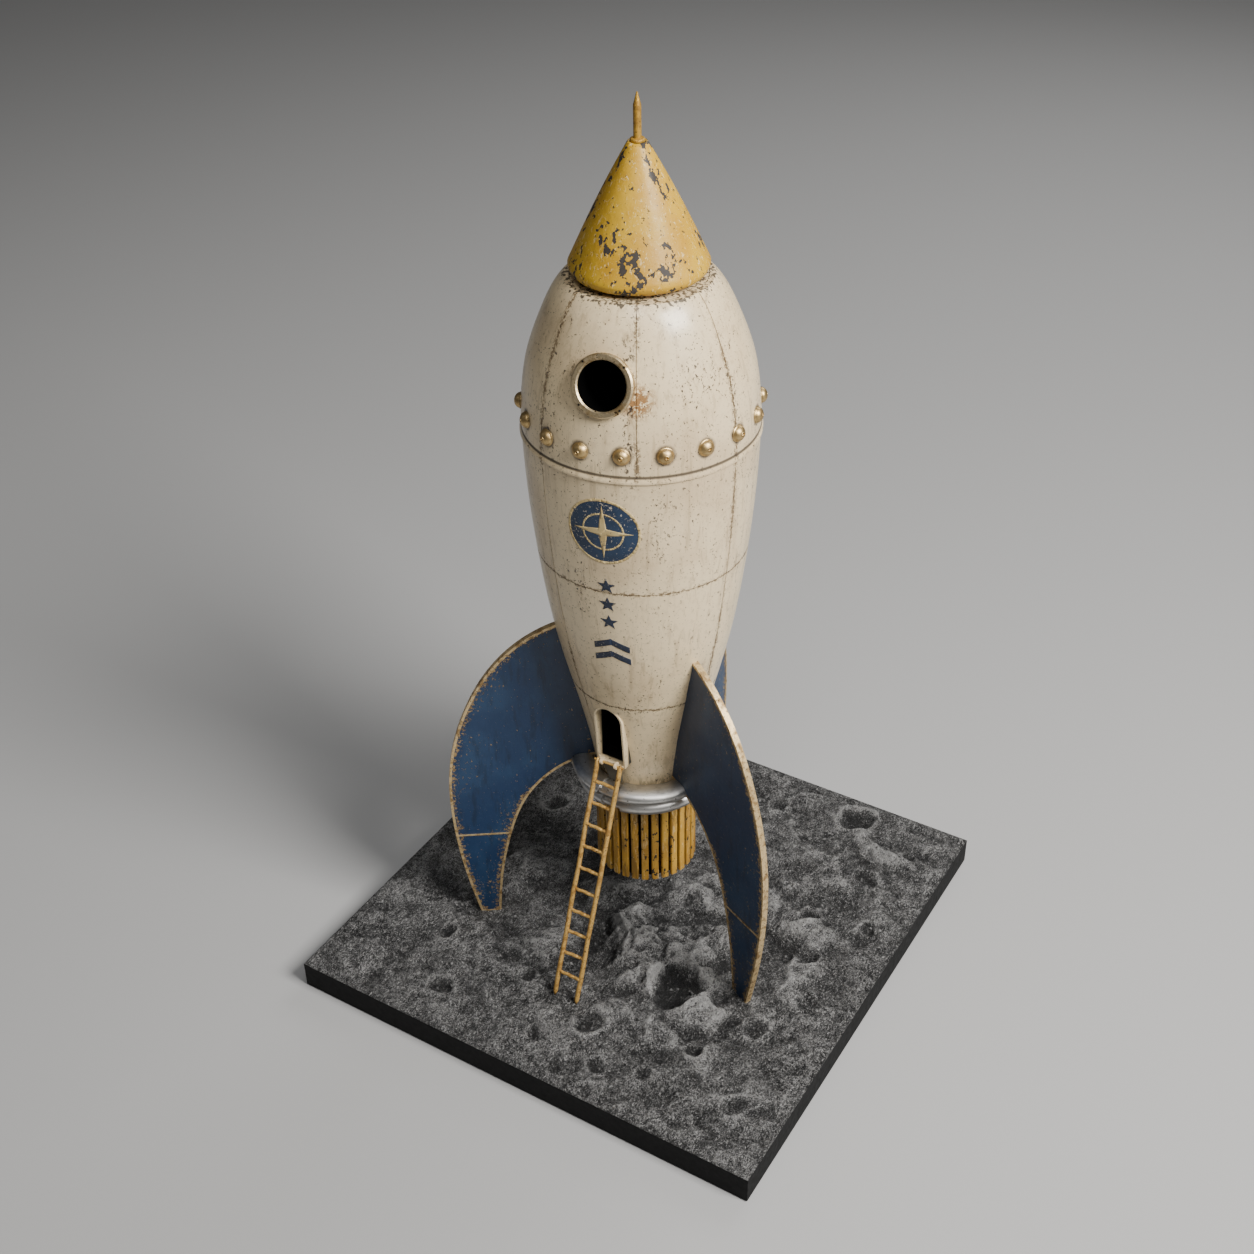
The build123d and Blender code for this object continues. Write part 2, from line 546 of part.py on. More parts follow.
port_seat = Rot(0, 0, COLUMN_AZ) * Pos(radius_on(dome_outer, PORT_Z), 0, PORT_Z) * Rot(0, 90 - PORT_TILT, 0)
cup_r = PORT_BORE_R + PORT_CUP_WALL
dome = dome_solid - filled(dome_curve(HULL_WALL)) - rivet_bores
dome -= port_seat * disc(cup_r + 0.1, 30, -20)
for blade in meridian_lines(dome_solid, dome_curve, SEAM_Z + 4, DOME_TOP_Z):
    dome -= blade
save("dome_shell", dome)

joint_ring = tube(JOINT_RING_R, JOINT_RING_R - JOINT_RING_WALL, JOINT_RING_BELOW + JOINT_RING_ABOVE,
                  SEAM_Z - JOINT_RING_BELOW)
save("joint_ring", joint_ring - rivet_bores)

# ------------------------------------------------------------------ porthole
flange = disc(PORT_RING_R, PORT_PROUD + 8, -8) - disc(PORT_BORE_R, 30, -15)
flange = chamfer(flange.edges().group_by(Axis.Z)[-1].filter_by(GeomType.CIRCLE), 0.7)
flange -= disc(cup_r + 0.05, PORT_PROUD - PORT_CUP_RECESS + 8, -8)
screws = [Rot(0, 0, 45 + i * 360 / PORT_SCREWS) * Pos((PORT_RING_R + cup_r) / 2, 0, 0)
          * disc(PORT_SCREW_R, PORT_SCREW_LENGTH, PORT_PROUD - PORT_SCREW_LENGTH + 0.1) for i in range(PORT_SCREWS)]
save("porthole_ring", port_seat * (flange - screws) - dome_solid)
save("porthole_screws", [port_seat * screw - dome_solid for screw in screws])
cup_mouth = PORT_PROUD - PORT_CUP_RECESS
cup = disc(cup_r, PORT_CUP_DEPTH, cup_mouth - PORT_CUP_DEPTH)
cup -= disc(PORT_BORE_R, PORT_CUP_DEPTH, cup_mouth - PORT_CUP_DEPTH + PORT_CUP_WALL)
save("porthole_cup", port_seat * cup)

# ------------------------------------------------------------------ neck and nose
neck_r = radius_on(dome_curve(HULL_WALL), DOME_TOP_Z - NECK_THICK) - NECK_FIT
neck_top = DOME_TOP_Z - 0.3
rim_r = (dome_curve(HULL_WALL) @ 1).X - NECK_FIT
neck = turned_points([(0, neck_top - NECK_THICK), (rim_r, neck_top - NECK_THICK), (rim_r, neck_top), (0, neck_top)])
neck += disc(NECK_SEAT_R, NECK_SEAT_HEIGHT, neck_top)
socket_depth = SPIGOT_LENGTH + SPIGOT_END_GAP
neck_face = neck_top + NECK_SEAT_HEIGHT
neck += disc(SOCKET_R + SOCKET_WALL, socket_depth + 2, neck_face - socket_depth - 2)
neck -= disc(SOCKET_R, socket_depth, neck_face - socket_depth)
save("dome_neck", neck)

spigot = disc(SOCKET_R - SPIGOT_CLEARANCE, SPIGOT_LENGTH + NOSE_RECESS, neck_face - SPIGOT_LENGTH)
save("nose_spigot", spigot)
nose_low = neck_face
lip_z = nose_low + NOSE_LIP_HEIGHT
cone_start = (NOSE_R, 0, lip_z)
shoulder = (NOSE_R - 3.2, 0, lip_z + 8)
slope = Vector(NOSE_TOP_R - shoulder[0], 0, NOSE_TOP_Z - shoulder[2])
cone_shoulder = Spline([cone_start, shoulder], tangents=((0, 0, 1), tuple(slope.normalized())))
lip = Spline([(NOSE_R - NOSE_LIP_TUCK, 0, nose_low), cone_start], tangents=((1, 0, 0.6), (0, 0, 1)))
inner_lip = (NOSE_R - NOSE_LIP_TUCK - 1.6, 0, nose_low)
recess = nose_low + NOSE_RECESS
nose = turned(lip, cone_shoulder, Line(shoulder, (NOSE_TOP_R, 0, NOSE_TOP_Z)),
              Line((NOSE_TOP_R, 0, NOSE_TOP_Z), (0, 0, NOSE_TOP_Z)), Line((0, 0, NOSE_TOP_Z), (0, 0, recess)),
              Line((0, 0, recess), (inner_lip[0], 0, recess)), Line((inner_lip[0], 0, recess), inner_lip),
              Line(inner_lip, (NOSE_R - NOSE_LIP_TUCK, 0, nose_low)))
needle_bore = disc(NEEDLE_R, NEEDLE_SINK + 10, NOSE_TOP_Z - NEEDLE_SINK)
save("nose_cone", nose - needle_bore)
collar = disc(COLLAR_R, COLLAR_HEIGHT, NOSE_TOP_Z)
collar = fillet(collar.edges().group_by(Axis.Z)[-1], 0.8) - needle_bore
save("needle_collar", collar)
needle_low = NOSE_TOP_Z - NEEDLE_SINK
needle = turned_points([(0, needle_low), (NEEDLE_R, needle_low), (NEEDLE_R, NEEDLE_TOP_Z - NEEDLE_POINT),
                        (0.35, NEEDLE_TOP_Z), (0, NEEDLE_TOP_Z)])
save("needle", needle)

# ------------------------------------------------------------------ ladder
ladder_drop = PIVOT_Z - SOIL_Z - LADDER_GROUND_GAP
ladder_run = PIVOT_Y - LADDER_FOOT_Y
ladder_lean = degrees(atan2(ladder_run, ladder_drop))
# The rail's round foot is cut square, so its lower corner sets the length.
rail_length = (ladder_drop - RAIL_R * sin(radians(ladder_lean))) / cos(radians(ladder_lean))
ladder_seat = Pos(0, PIVOT_Y, PIVOT_Z) * Rot(-ladder_lean, 0, 0)
rails = []
rungs = []
for x in (-RAIL_GAP / 2, RAIL_GAP / 2):
    rod = Pos(x, 0, -rail_length) * Cylinder(RAIL_R, rail_length + RAIL_STUB,
                                             align=(Align.CENTER, Align.CENTER, Align.MIN))
    rod = fillet(rod.edges().group_by(Axis.Z)[-1], RAIL_R * 0.8)
    rails.append(rod)
for i in range(RUNG_COUNT):
    rung = Pos(0, 0, -RUNG_FIRST - i * RUNG_PITCH) * Rot(0, 90, 0) * Cylinder(RUNG_R, RAIL_GAP)
    rungs.append(rung)
pin_length = RAIL_GAP + 2 * (RAIL_R + PIN_OVERHANG)
pin = Rot(0, 90, 0) * Cylinder(PIN_R, pin_length)
save("ladder_rails", [ladder_seat * (rod - rungs - pin) for rod in rails])
save("ladder_rungs", [ladder_seat * rung for rung in rungs])
save("ladder_pin", ladder_seat * pin)
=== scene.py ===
"""Looks of a retro rocket display model that stands on a square lunar slab.

Everything is in metres and degrees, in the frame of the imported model: +Z is up
along the rocket, and the doorway and ladder face -Y. Only the ground's relief is
in millimetres. Directions round the rocket are counted from +X.
"""

import logging
import math
from dataclasses import dataclass, field
from enum import Enum
from statistics import NormalDist
from typing import Any, Callable, Sequence, Union

import bmesh
import bpy
import numpy as np
from mathutils import Matrix, Vector
from mathutils.bvhtree import BVHTree

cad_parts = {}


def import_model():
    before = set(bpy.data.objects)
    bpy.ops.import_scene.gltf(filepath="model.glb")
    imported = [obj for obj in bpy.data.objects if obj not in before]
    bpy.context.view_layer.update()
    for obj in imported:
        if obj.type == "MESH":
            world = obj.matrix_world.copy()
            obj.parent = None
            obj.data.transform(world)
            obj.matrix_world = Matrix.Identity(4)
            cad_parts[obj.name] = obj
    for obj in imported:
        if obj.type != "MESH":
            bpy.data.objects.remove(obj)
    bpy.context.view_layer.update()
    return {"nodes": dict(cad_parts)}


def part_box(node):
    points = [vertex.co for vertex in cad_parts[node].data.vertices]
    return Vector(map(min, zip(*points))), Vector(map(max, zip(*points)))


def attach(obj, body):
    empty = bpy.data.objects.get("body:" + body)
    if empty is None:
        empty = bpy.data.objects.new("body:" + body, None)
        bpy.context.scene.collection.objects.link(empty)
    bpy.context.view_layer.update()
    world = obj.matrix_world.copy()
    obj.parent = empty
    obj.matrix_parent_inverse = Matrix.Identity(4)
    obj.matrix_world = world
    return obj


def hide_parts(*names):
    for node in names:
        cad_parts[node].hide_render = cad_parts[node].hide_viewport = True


LOG = logging.getLogger("rocket")
MM = 0.001
SPREAD = 0.15          # standard deviation that every noise is brought to
RAW_SPREAD = 0.132     # standard deviation of the noise node's first octave
Colour = tuple[float, float, float]
Point = tuple[float, float]
Nodes = dict[str, bpy.types.Object]
Faces = list[tuple[int, ...]]
FULL_TURN = 2 * math.pi


@dataclass(frozen=True)
class Layout:
    """Where the features stand that both the shapes and the paint need."""

    column: float = -78.0          # the doorway, porthole and marks
    rivets: int = 18
    first_rivet: float = -68.0
    rivet_z: float = 0.3683
    panels: int = 7
    first_panel: float = -61.0
    seam_z: float = 0.3573
    ring_seams: tuple[float, ...] = (0.2862, 0.2012)
    nose_z: float = 0.4353
    foot_z: float = 0.135
    slats: int = 30


LAYOUT = Layout()


# --------------------------------------------------------------------------- node graphs
def operator(name: str, swapped: bool = False) -> Callable[["Value", "Term"], "Value"]:
    """Make a method that joins a value and another term with a Math node.

    Args:
        name: The node's operation.
        swapped: Whether the other term comes first.

    Returns:
        The method.
    """
    def join(value: "Value", other: "Term") -> "Value":
        """Join two terms."""
        return value.graph.math(name, other, value) if swapped else value.graph.math(name, value, other)

    return join


class Value:
    """A socket that Python's operators work on; each operator adds a Math node."""

    __add__ = operator("ADD")
    __radd__ = operator("ADD", swapped=True)
    __sub__ = operator("SUBTRACT")
    __rsub__ = operator("SUBTRACT", swapped=True)
    __mul__ = operator("MULTIPLY")
    __rmul__ = operator("MULTIPLY", swapped=True)
    __truediv__ = operator("DIVIDE")
    __pow__ = operator("POWER")
    upto = operator("MINIMUM")
    atleast = operator("MAXIMUM")

    def __init__(self, graph: "Graph", socket: bpy.types.NodeSocket) -> None:
        """Wrap one output socket of a graph."""
        self.graph = graph
        self.socket = socket

    def __abs__(self) -> "Value":
        """Absolute value."""
        return self.graph.math("ABSOLUTE", self)

    def fraction(self) -> "Value":
        """What is left over the whole number."""
        return self.graph.math("FRACT", self)

    def ramp(self, low: float, high: float) -> "Value":
        """Smooth step from 0 at low to 1 at high; low may be the larger.

        Args:
            low: Value that gives 0.
            high: Value that gives 1.

        Returns:
            The stepped value.
        """
        if low > high:
            return 1.0 - self.ramp(high, low)
        return self.graph.value("ShaderNodeMapRange", {"interpolation_type": "SMOOTHSTEP"},
                                {"Value": self, "From Min": low, "From Max": high})


Term = Union[Value, float]


class Graph:
    """A node tree with one method that makes any node."""

    def __init__(self, tree: bpy.types.NodeTree) -> None:
        """Start with an empty tree.

        Args:
            tree: The tree to fill.
        """
        self.tree = tree
        tree.nodes.clear()

    def node(self, kind: str, settings: dict[str, Any] | None = None,
             inputs: dict[Union[str, int], Any] | None = None) -> bpy.types.Node:
        """Make a node, set its settings, then fill its sockets.

        Args:
            kind: Node type.
            settings: Node properties; "stops" fills a colour ramp and "curve" a float curve.
            inputs: Values or links, by socket name or number.

        Returns:
            The new node.
        """
        node = self.tree.nodes.new(kind)
        for key, setting in (settings or {}).items():
            if key == "stops":
                self._fill_ramp(node.color_ramp, setting)
            elif key == "curve":
                self._fill_curve(node.mapping, setting)
            else:
                setattr(node, key, setting)
        for key, term in (inputs or {}).items():
            socket = node.inputs[key]
            if isinstance(term, Value):
                self.tree.links.new(term.socket, socket)
            elif isinstance(term, bpy.types.NodeSocket):
                self.tree.links.new(term, socket)
            else:
                socket.default_value = term
        return node

    @staticmethod
    def _fill_ramp(ramp: bpy.types.ColorRamp, stops: Sequence[tuple[float, Colour]]) -> None:
        """Give a colour ramp its stops.

        Args:
            ramp: The ramp.
            stops: Place and colour of each stop.
        """
        while len(ramp.elements) < len(stops):
            ramp.elements.new(1.0)
        for element, (place, colour) in zip(ramp.elements, stops):
            element.position = place
            element.color = (*colour, 1.0)

    @staticmethod
    def _fill_curve(mapping: bpy.types.CurveMapping, points: Sequence[Point]) -> None:
        """Give a float curve its points.

        Args:
            mapping: The curve's mapping.
            points: Place and value of each point.
        """
        curve = mapping.curves[0]
        while len(curve.points) < len(points):
            curve.points.new(0.5, 0.5)
        for handle, (across, up) in zip(curve.points, points):
            handle.location = (across, up)
        mapping.update()

    def value(self, kind: str, settings: dict[str, Any] | None = None,
              inputs: dict[Union[str, int], Any] | None = None, output: Union[str, int] = 0) -> Value:
        """Make a node and wrap one of its outputs."""
        return Value(self, self.node(kind, settings, inputs).outputs[output])

    def math(self, operation: str, *terms: Term) -> Value:
        """Make a Math node on up to three terms."""
        return self.value("ShaderNodeMath", {"operation": operation}, dict(enumerate(terms)))


class Surface(Graph):
    """Shader graph of one material, with the patterns that the finishes share."""

    def __init__(self, material: bpy.types.Material) -> None:
        """Open the material's tree and make its shader and output.

        Args:
            material: The material to fill.
        """
        material.use_nodes = True
        super().__init__(material.node_tree)
        self.shader = self.node("ShaderNodeBsdfPrincipled")
        self.node("ShaderNodeOutputMaterial", None, {"Surface": self.shader.outputs["BSDF"]})
        self.place = self.value("ShaderNodeTexCoord", None, None, "Object")
        parts = self.node("ShaderNodeSeparateXYZ", None, {"Vector": self.place})
        self.x, self.y, self.z = (Value(self, parts.outputs[i]) for i in range(3))

    def stretched(self, scale: tuple[float, float, float], turn: float = 0.0) -> Value:
        """Object coordinates with each axis scaled, after a turn about Z in degrees."""
        return self.value("ShaderNodeMapping", None, {"Vector": self.place, "Scale": scale,
                                                      "Rotation": (0, 0, math.radians(turn))})

    def noise(self, scale: float, detail: float = 3, rough: float = 0.5, bend: float = 0.0,
              where: Value | None = None) -> Value:
        """Noise with a mean of 0.5 and the same spread whatever its octaves.

        Args:
            scale: Features per metre.
            detail: Octaves after the first.
            rough: Strength of the finer octaves.
            bend: Distortion.
            where: Coordinates, object coordinates if left out.

        Returns:
            The noise value.
        """
        raw = self.value("ShaderNodeTexNoise", None,
                         {"Vector": where or self.place, "Scale": scale, "Detail": detail, "Roughness": rough,
                          "Distortion": bend})
        octaves = [rough ** k for k in range(int(detail) + 1)]
        spread = RAW_SPREAD * math.sqrt(sum(o * o for o in octaves)) / sum(octaves)
        gain = SPREAD / spread
        return self.math("MULTIPLY_ADD", raw, gain, 0.5 - 0.5 * gain)

    def patches(self, share: float, scale: float, detail: float = 4, rough: float = 0.6, bend: float = 0.3,
                where: Value | None = None, soft: float = 0.03, push: Value | None = None) -> Value:
        """Mask that covers about a share of the surface.

        Args:
            share: Part of the surface that it covers, where nothing is pushed.
            scale: Features per metre.
            detail: Octaves after the first.
            rough: Strength of the finer octaves.
            bend: Distortion.
            where: Coordinates, object coordinates if left out.
            soft: Half the width of its edge, in noise values.
            push: Value added to the noise, which widens the patches where it is high.

        Returns:
            The mask.
        """
        edge = 0.5 + SPREAD * NormalDist().inv_cdf(1.0 - share)
        noise = self.noise(scale, detail, rough, bend, where)
        if push is not None:
            noise = noise + push
        return noise.ramp(edge - soft, edge + soft)

    def cracks(self, scale: float, where: Value) -> Value:
        """Distance to the borders of a cell pattern."""
        return self.value("ShaderNodeTexVoronoi", {"feature": "DISTANCE_TO_EDGE"},
                          {"Vector": where, "Scale": scale}, "Distance")

    def mix(self, factor: Term, first: Any, second: Any) -> Value:
        """Blend two colours.

        Args:
            factor: 0 gives the first, 1 the second.
            first: Colour or value.
            second: Colour or value.

        Returns:
            The blended colour.
        """
        first, second = ((*c, 1.0) if isinstance(c, tuple) else c for c in (first, second))
        return self.value("ShaderNodeMix", {"data_type": "RGBA"}, {0: factor, 6: first, 7: second}, 2)

    def azimuth(self) -> Value:
        """Direction from the rocket's axis, in radians."""
        return self.math("ARCTAN2", self.y, self.x)

    def radius(self) -> Value:
        """Distance from the rocket's axis."""
        return self.math("SQRT", self.x * self.x + self.y * self.y)

    def beside(self, count: int, first: float) -> Value:
        """Distance along the surface to the nearest of evenly spaced meridians.

        Args:
            count: How many meridians there are.
            first: Direction of one of them, in degrees.

        Returns:
            The distance in metres.
        """
        step = FULL_TURN / count
        turn = (self.azimuth() - math.radians(first)) / step + 0.5
        return abs(turn.fraction() - 0.5) * step * self.radius()

    def distance_to(self, point: Vector) -> Value:
        """Distance to a point."""
        return self.value("ShaderNodeVectorMath", {"operation": "DISTANCE"},
                          {0: self.place, 1: tuple(point)}, "Value")

    def relief(self, height: Value, depth: float, strength: float = 1.0, under: Value | None = None) -> Value:
        """Bump from a height between 0 and 1.

        Args:
            height: The height.
            depth: What a height of 1 stands for, in metres.
            strength: How much of it shows.
            under: Normal of another bump that this one rides on.

        Returns:
            The new normal.
        """
        inputs = {"Height": height, "Distance": depth, "Strength": strength}
        if under is not None:
            inputs["Normal"] = under
        return self.value("ShaderNodeBump", None, inputs, "Normal")

    def finish(self, **sockets: Any) -> None:
        """Set the shader's sockets; an underscore stands for a space."""
        for name, term in sockets.items():
            socket = self.shader.inputs[name.replace("_", " ")]
            if isinstance(term, Value):
                self.tree.links.new(term.socket, socket)
            else:
                socket.default_value = (*term, 1.0) if isinstance(term, tuple) else term


# --------------------------------------------------------------------------- finishes
@dataclass(frozen=True)
class Finish:
    """A finish that can be made into a material."""

    name: str

    def paint(self, s: Surface) -> None:
        """Fill the shader.

        Args:
            s: The material's surface.
        """
        raise NotImplementedError

    def material(self) -> bpy.types.Material:
        """Make the material, or find it if it was made before.

        Returns:
            The material.
        """
        title = f"{self.name}_finish"
        made = bpy.data.materials.get(title)
        if made is None:
            made = bpy.data.materials.new(title)
            self.paint(Surface(made))
        return made


@dataclass(frozen=True)
class HullEnamel(Finish):
    """Aged cream enamel with grimy panel lines and seams, a darker ring round each rivet, a painted shadow
    under the nose cone and, where asked, painted shade deep in the doorway.
    """

    cream: Colour = (0.80, 0.645, 0.40)
    aged: Colour = (0.56, 0.42, 0.245)
    crackle: Colour = (0.17, 0.105, 0.042)
    # Dark brown for the grooves and seams, and for the painted shadow under the nose cone.
    grime_and_shade: Colour = (0.040, 0.027, 0.016)
    chip: Colour = (0.055, 0.038, 0.026)
    rust: Colour = (0.26, 0.115, 0.028)
    # Near-black painted shade for the deep part of the doorway's reveal.
    inside: Colour = (0.003, 0.003, 0.003)
    leak: tuple[float, float, float] = (0.0, 0.0, 0.0)
    # Depth past which the doorway's reveal is painted in shade; None paints no shade.
    inside_y: float | None = None

    def panel_crackle(self, s: Surface) -> tuple[Value, Value]:
        """Brown ticks along the panel lines, and the grooves themselves.

        Args:
            s: The surface.

        Returns:
            The masks of the ticks and of the grooves.
        """
        line = s.beside(LAYOUT.panels, LAYOUT.first_panel)
        wobble = (s.noise(210, 3, 0.6) - 0.5) * 0.0022
        along = s.stretched((1, 1, 0.6))
        near = (line + abs(wobble)).ramp(0.0030, 0.0006)
        ticks = s.patches(0.16, 900, 2, 0.6, 0.6, along, 0.06, near * 0.16) * near
        worn = s.patches(0.60, 26, 2, 0.5, 0.0, along, 0.10)
        # The lower hull has no line in front, beside the badge.
        turn = abs(s.azimuth() - math.radians(LAYOUT.first_panel))
        bare = 1.0 - turn.ramp(0.25, 0.20) * s.z.ramp(LAYOUT.seam_z, LAYOUT.seam_z - 0.004)
        mask = ticks * worn * bare
        groove = line.ramp(0.00045, 0.0001) * 0.3 * bare
        for ring_z in LAYOUT.ring_seams:
            off = abs(s.z - ring_z + wobble)
            near = off.ramp(0.0021, 0.0003)
            mask = mask.atleast(s.patches(0.10, 620, 3, 0.6, 0.8, None, 0.05, near * 0.20) * near)
            groove = groove.atleast(abs(s.z - ring_z + wobble * 0.4).ramp(0.00042, 0.0001) * 0.8)
        return mask, groove

    def dirt_and_shade(self, s: Surface, fine: Value) -> Value:
        """Painted shadow under the nose cone's lip, a dark line at the main seam, streaky darkening at the
        foot and a darker ring round each rivet.

        Args:
            s: The surface.
            fine: Fine noise to break it up.

        Returns:
            The mask.
        """
        across = s.beside(LAYOUT.rivets, LAYOUT.first_rivet)
        up = s.z - LAYOUT.rivet_z
        rivet_gap = s.math("SQRT", across * across + up * up)
        strokes = s.noise(520, 2, 0.5, 0.2, s.stretched((1, 1, 0.22)))
        # Painted shadow on the dome just under the nose cone's lip, broken into strokes.
        mask = (s.z + (strokes - 0.5) * 0.0075).ramp(LAYOUT.nose_z - 0.0001, LAYOUT.nose_z + 0.0007)
        # Darker ring round the foot of each rivet head.
        mask = mask.atleast(rivet_gap.ramp(0.0062, 0.0044) * (0.35 + fine * 0.9).upto(1.0))
        mask = mask.atleast(abs(s.z - LAYOUT.seam_z).ramp(0.0011, 0.0004) * 0.95)
        # Streaky darkening towards the hull's foot.
        foot = s.z.ramp(LAYOUT.foot_z + 0.014, LAYOUT.foot_z)
        foot = foot * s.patches(0.45, 300, 4, 0.6, 0.2, s.stretched((1, 1, 0.3)), 0.1)
        return mask.atleast(foot * 0.55)

    def chips(self, s: Surface) -> Value:
        """Small dark flakes in upright clusters, most of all below the porthole.

        Args:
            s: The surface.

        Returns:
            The mask.
        """
        upright = s.stretched((1, 1, 0.45))
        cluster = s.noise(34, 3, 0.6, 0.4, upright).ramp(0.58, 0.82)
        flakes = s.patches(0.012, 640, 5, 0.72, 0.5, s.stretched((1, 1, 0.75)), 0.02, cluster * 0.12)
        dots = s.patches(0.010, 820, 1, 0.5, 0.0, None, 0.02, cluster * 0.05)
        turn = (s.azimuth() - math.radians(LAYOUT.column + 13)) * s.radius()
        streak = abs(turn + (s.noise(130, 2, 0.5) - 0.5) * 0.006).ramp(0.0050, 0.0006)
        streak = streak * s.z.ramp(0.335, 0.362) * s.z.ramp(0.432, 0.415)
        scab = s.patches(0.05, 560, 5, 0.75, 0.4, s.stretched((1, 1, 0.5)), 0.02, streak * 0.12) * streak
        return flakes.atleast(dots).atleast(scab)

    def paint(self, s: Surface) -> None:
        """Fill the shader.

        Args:
            s: The material's surface.
        """
        broad = s.noise(16, 3, 0.55)
        fine = s.noise(240, 5, 0.68)
        down = s.stretched((1, 1, 0.10))
        runs = s.noise(150, 4, 0.6, 0.2, down)
        mask, groove = self.panel_crackle(s)
        dirt_and_shade = self.dirt_and_shade(s, fine)
        chips = self.chips(s)
        above = s.z.ramp(LAYOUT.rivet_z - 0.045, LAYOUT.rivet_z)
        below_rivet = s.beside(LAYOUT.rivets, LAYOUT.first_rivet).ramp(0.0045, 0.0008)
        stain = above * s.z.ramp(LAYOUT.rivet_z, LAYOUT.rivet_z - 0.004) * below_rivet * runs.ramp(0.45, 0.70)
        rust_gap = s.distance_to(Vector(self.leak))
        rusty = s.patches(0.30, 420, 5, 0.7, 0.7, None, 0.06, rust_gap.ramp(0.011, 0.001) * 0.20)
        rusty = rusty * rust_gap.ramp(0.012, 0.004)

        colour = s.mix(broad.ramp(0.42, 0.85) * 0.60, self.cream, self.aged)
        colour = s.mix(runs.ramp(0.55, 0.90) * 0.40, colour, self.aged)
        colour = s.mix(s.patches(0.10, 300, 5, 0.7, 0.4, down, 0.08) * 0.22, colour, self.crackle)
        colour = s.mix(fine.ramp(0.55, 0.85) * 0.14, colour, self.crackle)
        colour = s.mix(stain * 0.35, colour, self.crackle)
        colour = s.mix(mask * 0.85, colour, self.crackle)
        colour = s.mix(groove * 0.70, colour, self.grime_and_shade)
        # Painted shadow under the nose cone, with the seam's dark line, the foot's darkening and the rivet
        # rings.
        colour = s.mix(dirt_and_shade * 0.90, colour, self.grime_and_shade)
        colour = s.mix(rusty * 0.90, colour, self.rust)
        colour = s.mix(chips, colour, self.chip)
        # Painted shade: the doorway's reveal turns near black past the given depth.
        if self.inside_y is not None:
            dark = s.y.ramp(self.inside_y - 0.0010, self.inside_y + 0.0006)
            colour = s.mix(dark, colour, self.inside)
        clean = 0.26 + 0.14 * fine + 0.08 * broad
        dull = clean.atleast(0.30 + 0.40 * dirt_and_shade).atleast(0.28 + 0.4 * mask)
        dents = s.relief(s.noise(22, 2, 0.4), 0.0010, 0.5)
        flaked = s.relief(1.0 - chips.atleast(mask * 0.6), 0.00030, 0.9, dents)
        grain = s.relief(fine, 0.00010, 0.5, flaked)
        s.finish(Base_Color=colour, Roughness=dull, Normal=grain, Coat_Weight=0.5, Coat_Roughness=0.22)


@dataclass(frozen=True)
class ChippedEnamel(Finish):
    """Glossy enamel over dark metal, with chips, scratches and rubbed patches."""

    paint_colour: Colour
    shade: Colour
    under: Colour
    pale: Colour
    chip_scale: float = 330.0
    chip_share: float = 0.012
    cluster_scale: float = 55.0
    cluster_push: float = 0.20
    upright: float = 0.35
    scuff_share: float = 0.03
    roughness: float = 0.34
    coat: float = 0.35
    smear: Colour = (0.085, 0.045, 0.015)
    slats: int = 0                 # separate slats that differ in tint, none for a whole surface

    def paint(self, s: Surface) -> None:
        """Fill the shader.

        Args:
            s: The material's surface.
        """
        along = s.stretched((1, 1, self.upright))
        broad = s.noise(38, 3, 0.5)
        fine = s.noise(320, 4, 0.62)
        cluster = s.noise(self.cluster_scale, 2, 0.55, 0.2, along).ramp(0.54, 0.72)
        chips = s.patches(self.chip_share, self.chip_scale, 3, 0.55, 0.3, s.stretched((1, 1, 0.8)), 0.012,
                          cluster * self.cluster_push)
        specks = s.patches(0.006, 900, 1, 0.5, 0.0, None, 0.02)
        scuffs = s.patches(self.scuff_share, 520, 5, 0.72, 0.6, along, 0.03,
                           s.noise(60, 2, 0.5).ramp(0.5, 0.8) * 0.10)
        flecks = s.patches(0.015, 760, 3, 0.6, 0.5, s.stretched((1, 1, 0.6)), 0.03,
                           broad.ramp(0.5, 0.8) * 0.06)
        hairline = s.cracks(90, s.stretched((1, 1, 0.3), 20)).ramp(0.012, 0.003)
        hairline = hairline * fine.ramp(0.60, 0.75)
        colour = s.mix(broad.ramp(0.35, 0.80) * 0.75, self.paint_colour, self.shade)
        colour = s.mix(s.noise(200, 4, 0.6, 0.2, along).ramp(0.50, 0.85) * 0.45, colour, self.shade)
        if self.slats:
            tint = s.value("ShaderNodeTexWhiteNoise", {"noise_dimensions": "1D"},
                           {"W": s.math("FLOOR", s.azimuth() / (FULL_TURN / self.slats) + 0.5)})
            colour = s.mix(tint * 0.55, colour, self.shade)
            smear = s.patches(0.16, 200, 4, 0.65, 0.5, s.stretched((1, 1, 0.14)), 0.12)
            colour = s.mix(smear * 0.6, colour, self.smear)
        colour = s.mix((scuffs * 0.60).atleast(hairline * 0.45), colour, self.pale)
        colour = s.mix(flecks * 0.55, colour, self.pale)
        colour = s.mix(chips.atleast(specks), colour, self.under)
        dull = self.roughness + 0.12 * fine + 0.30 * chips + 0.15 * scuffs
        base = s.relief(s.noise(60, 2, 0.4), 0.0007, 0.5)
        flaked = s.relief(1.0 - chips, 0.0004, 1.0, base)
        normal = s.relief(fine - scuffs * 0.6, 0.00016, 0.6, flaked)
        s.finish(Base_Color=colour, Roughness=dull, Normal=normal, Coat_Weight=self.coat,
                 Coat_Roughness=0.26)


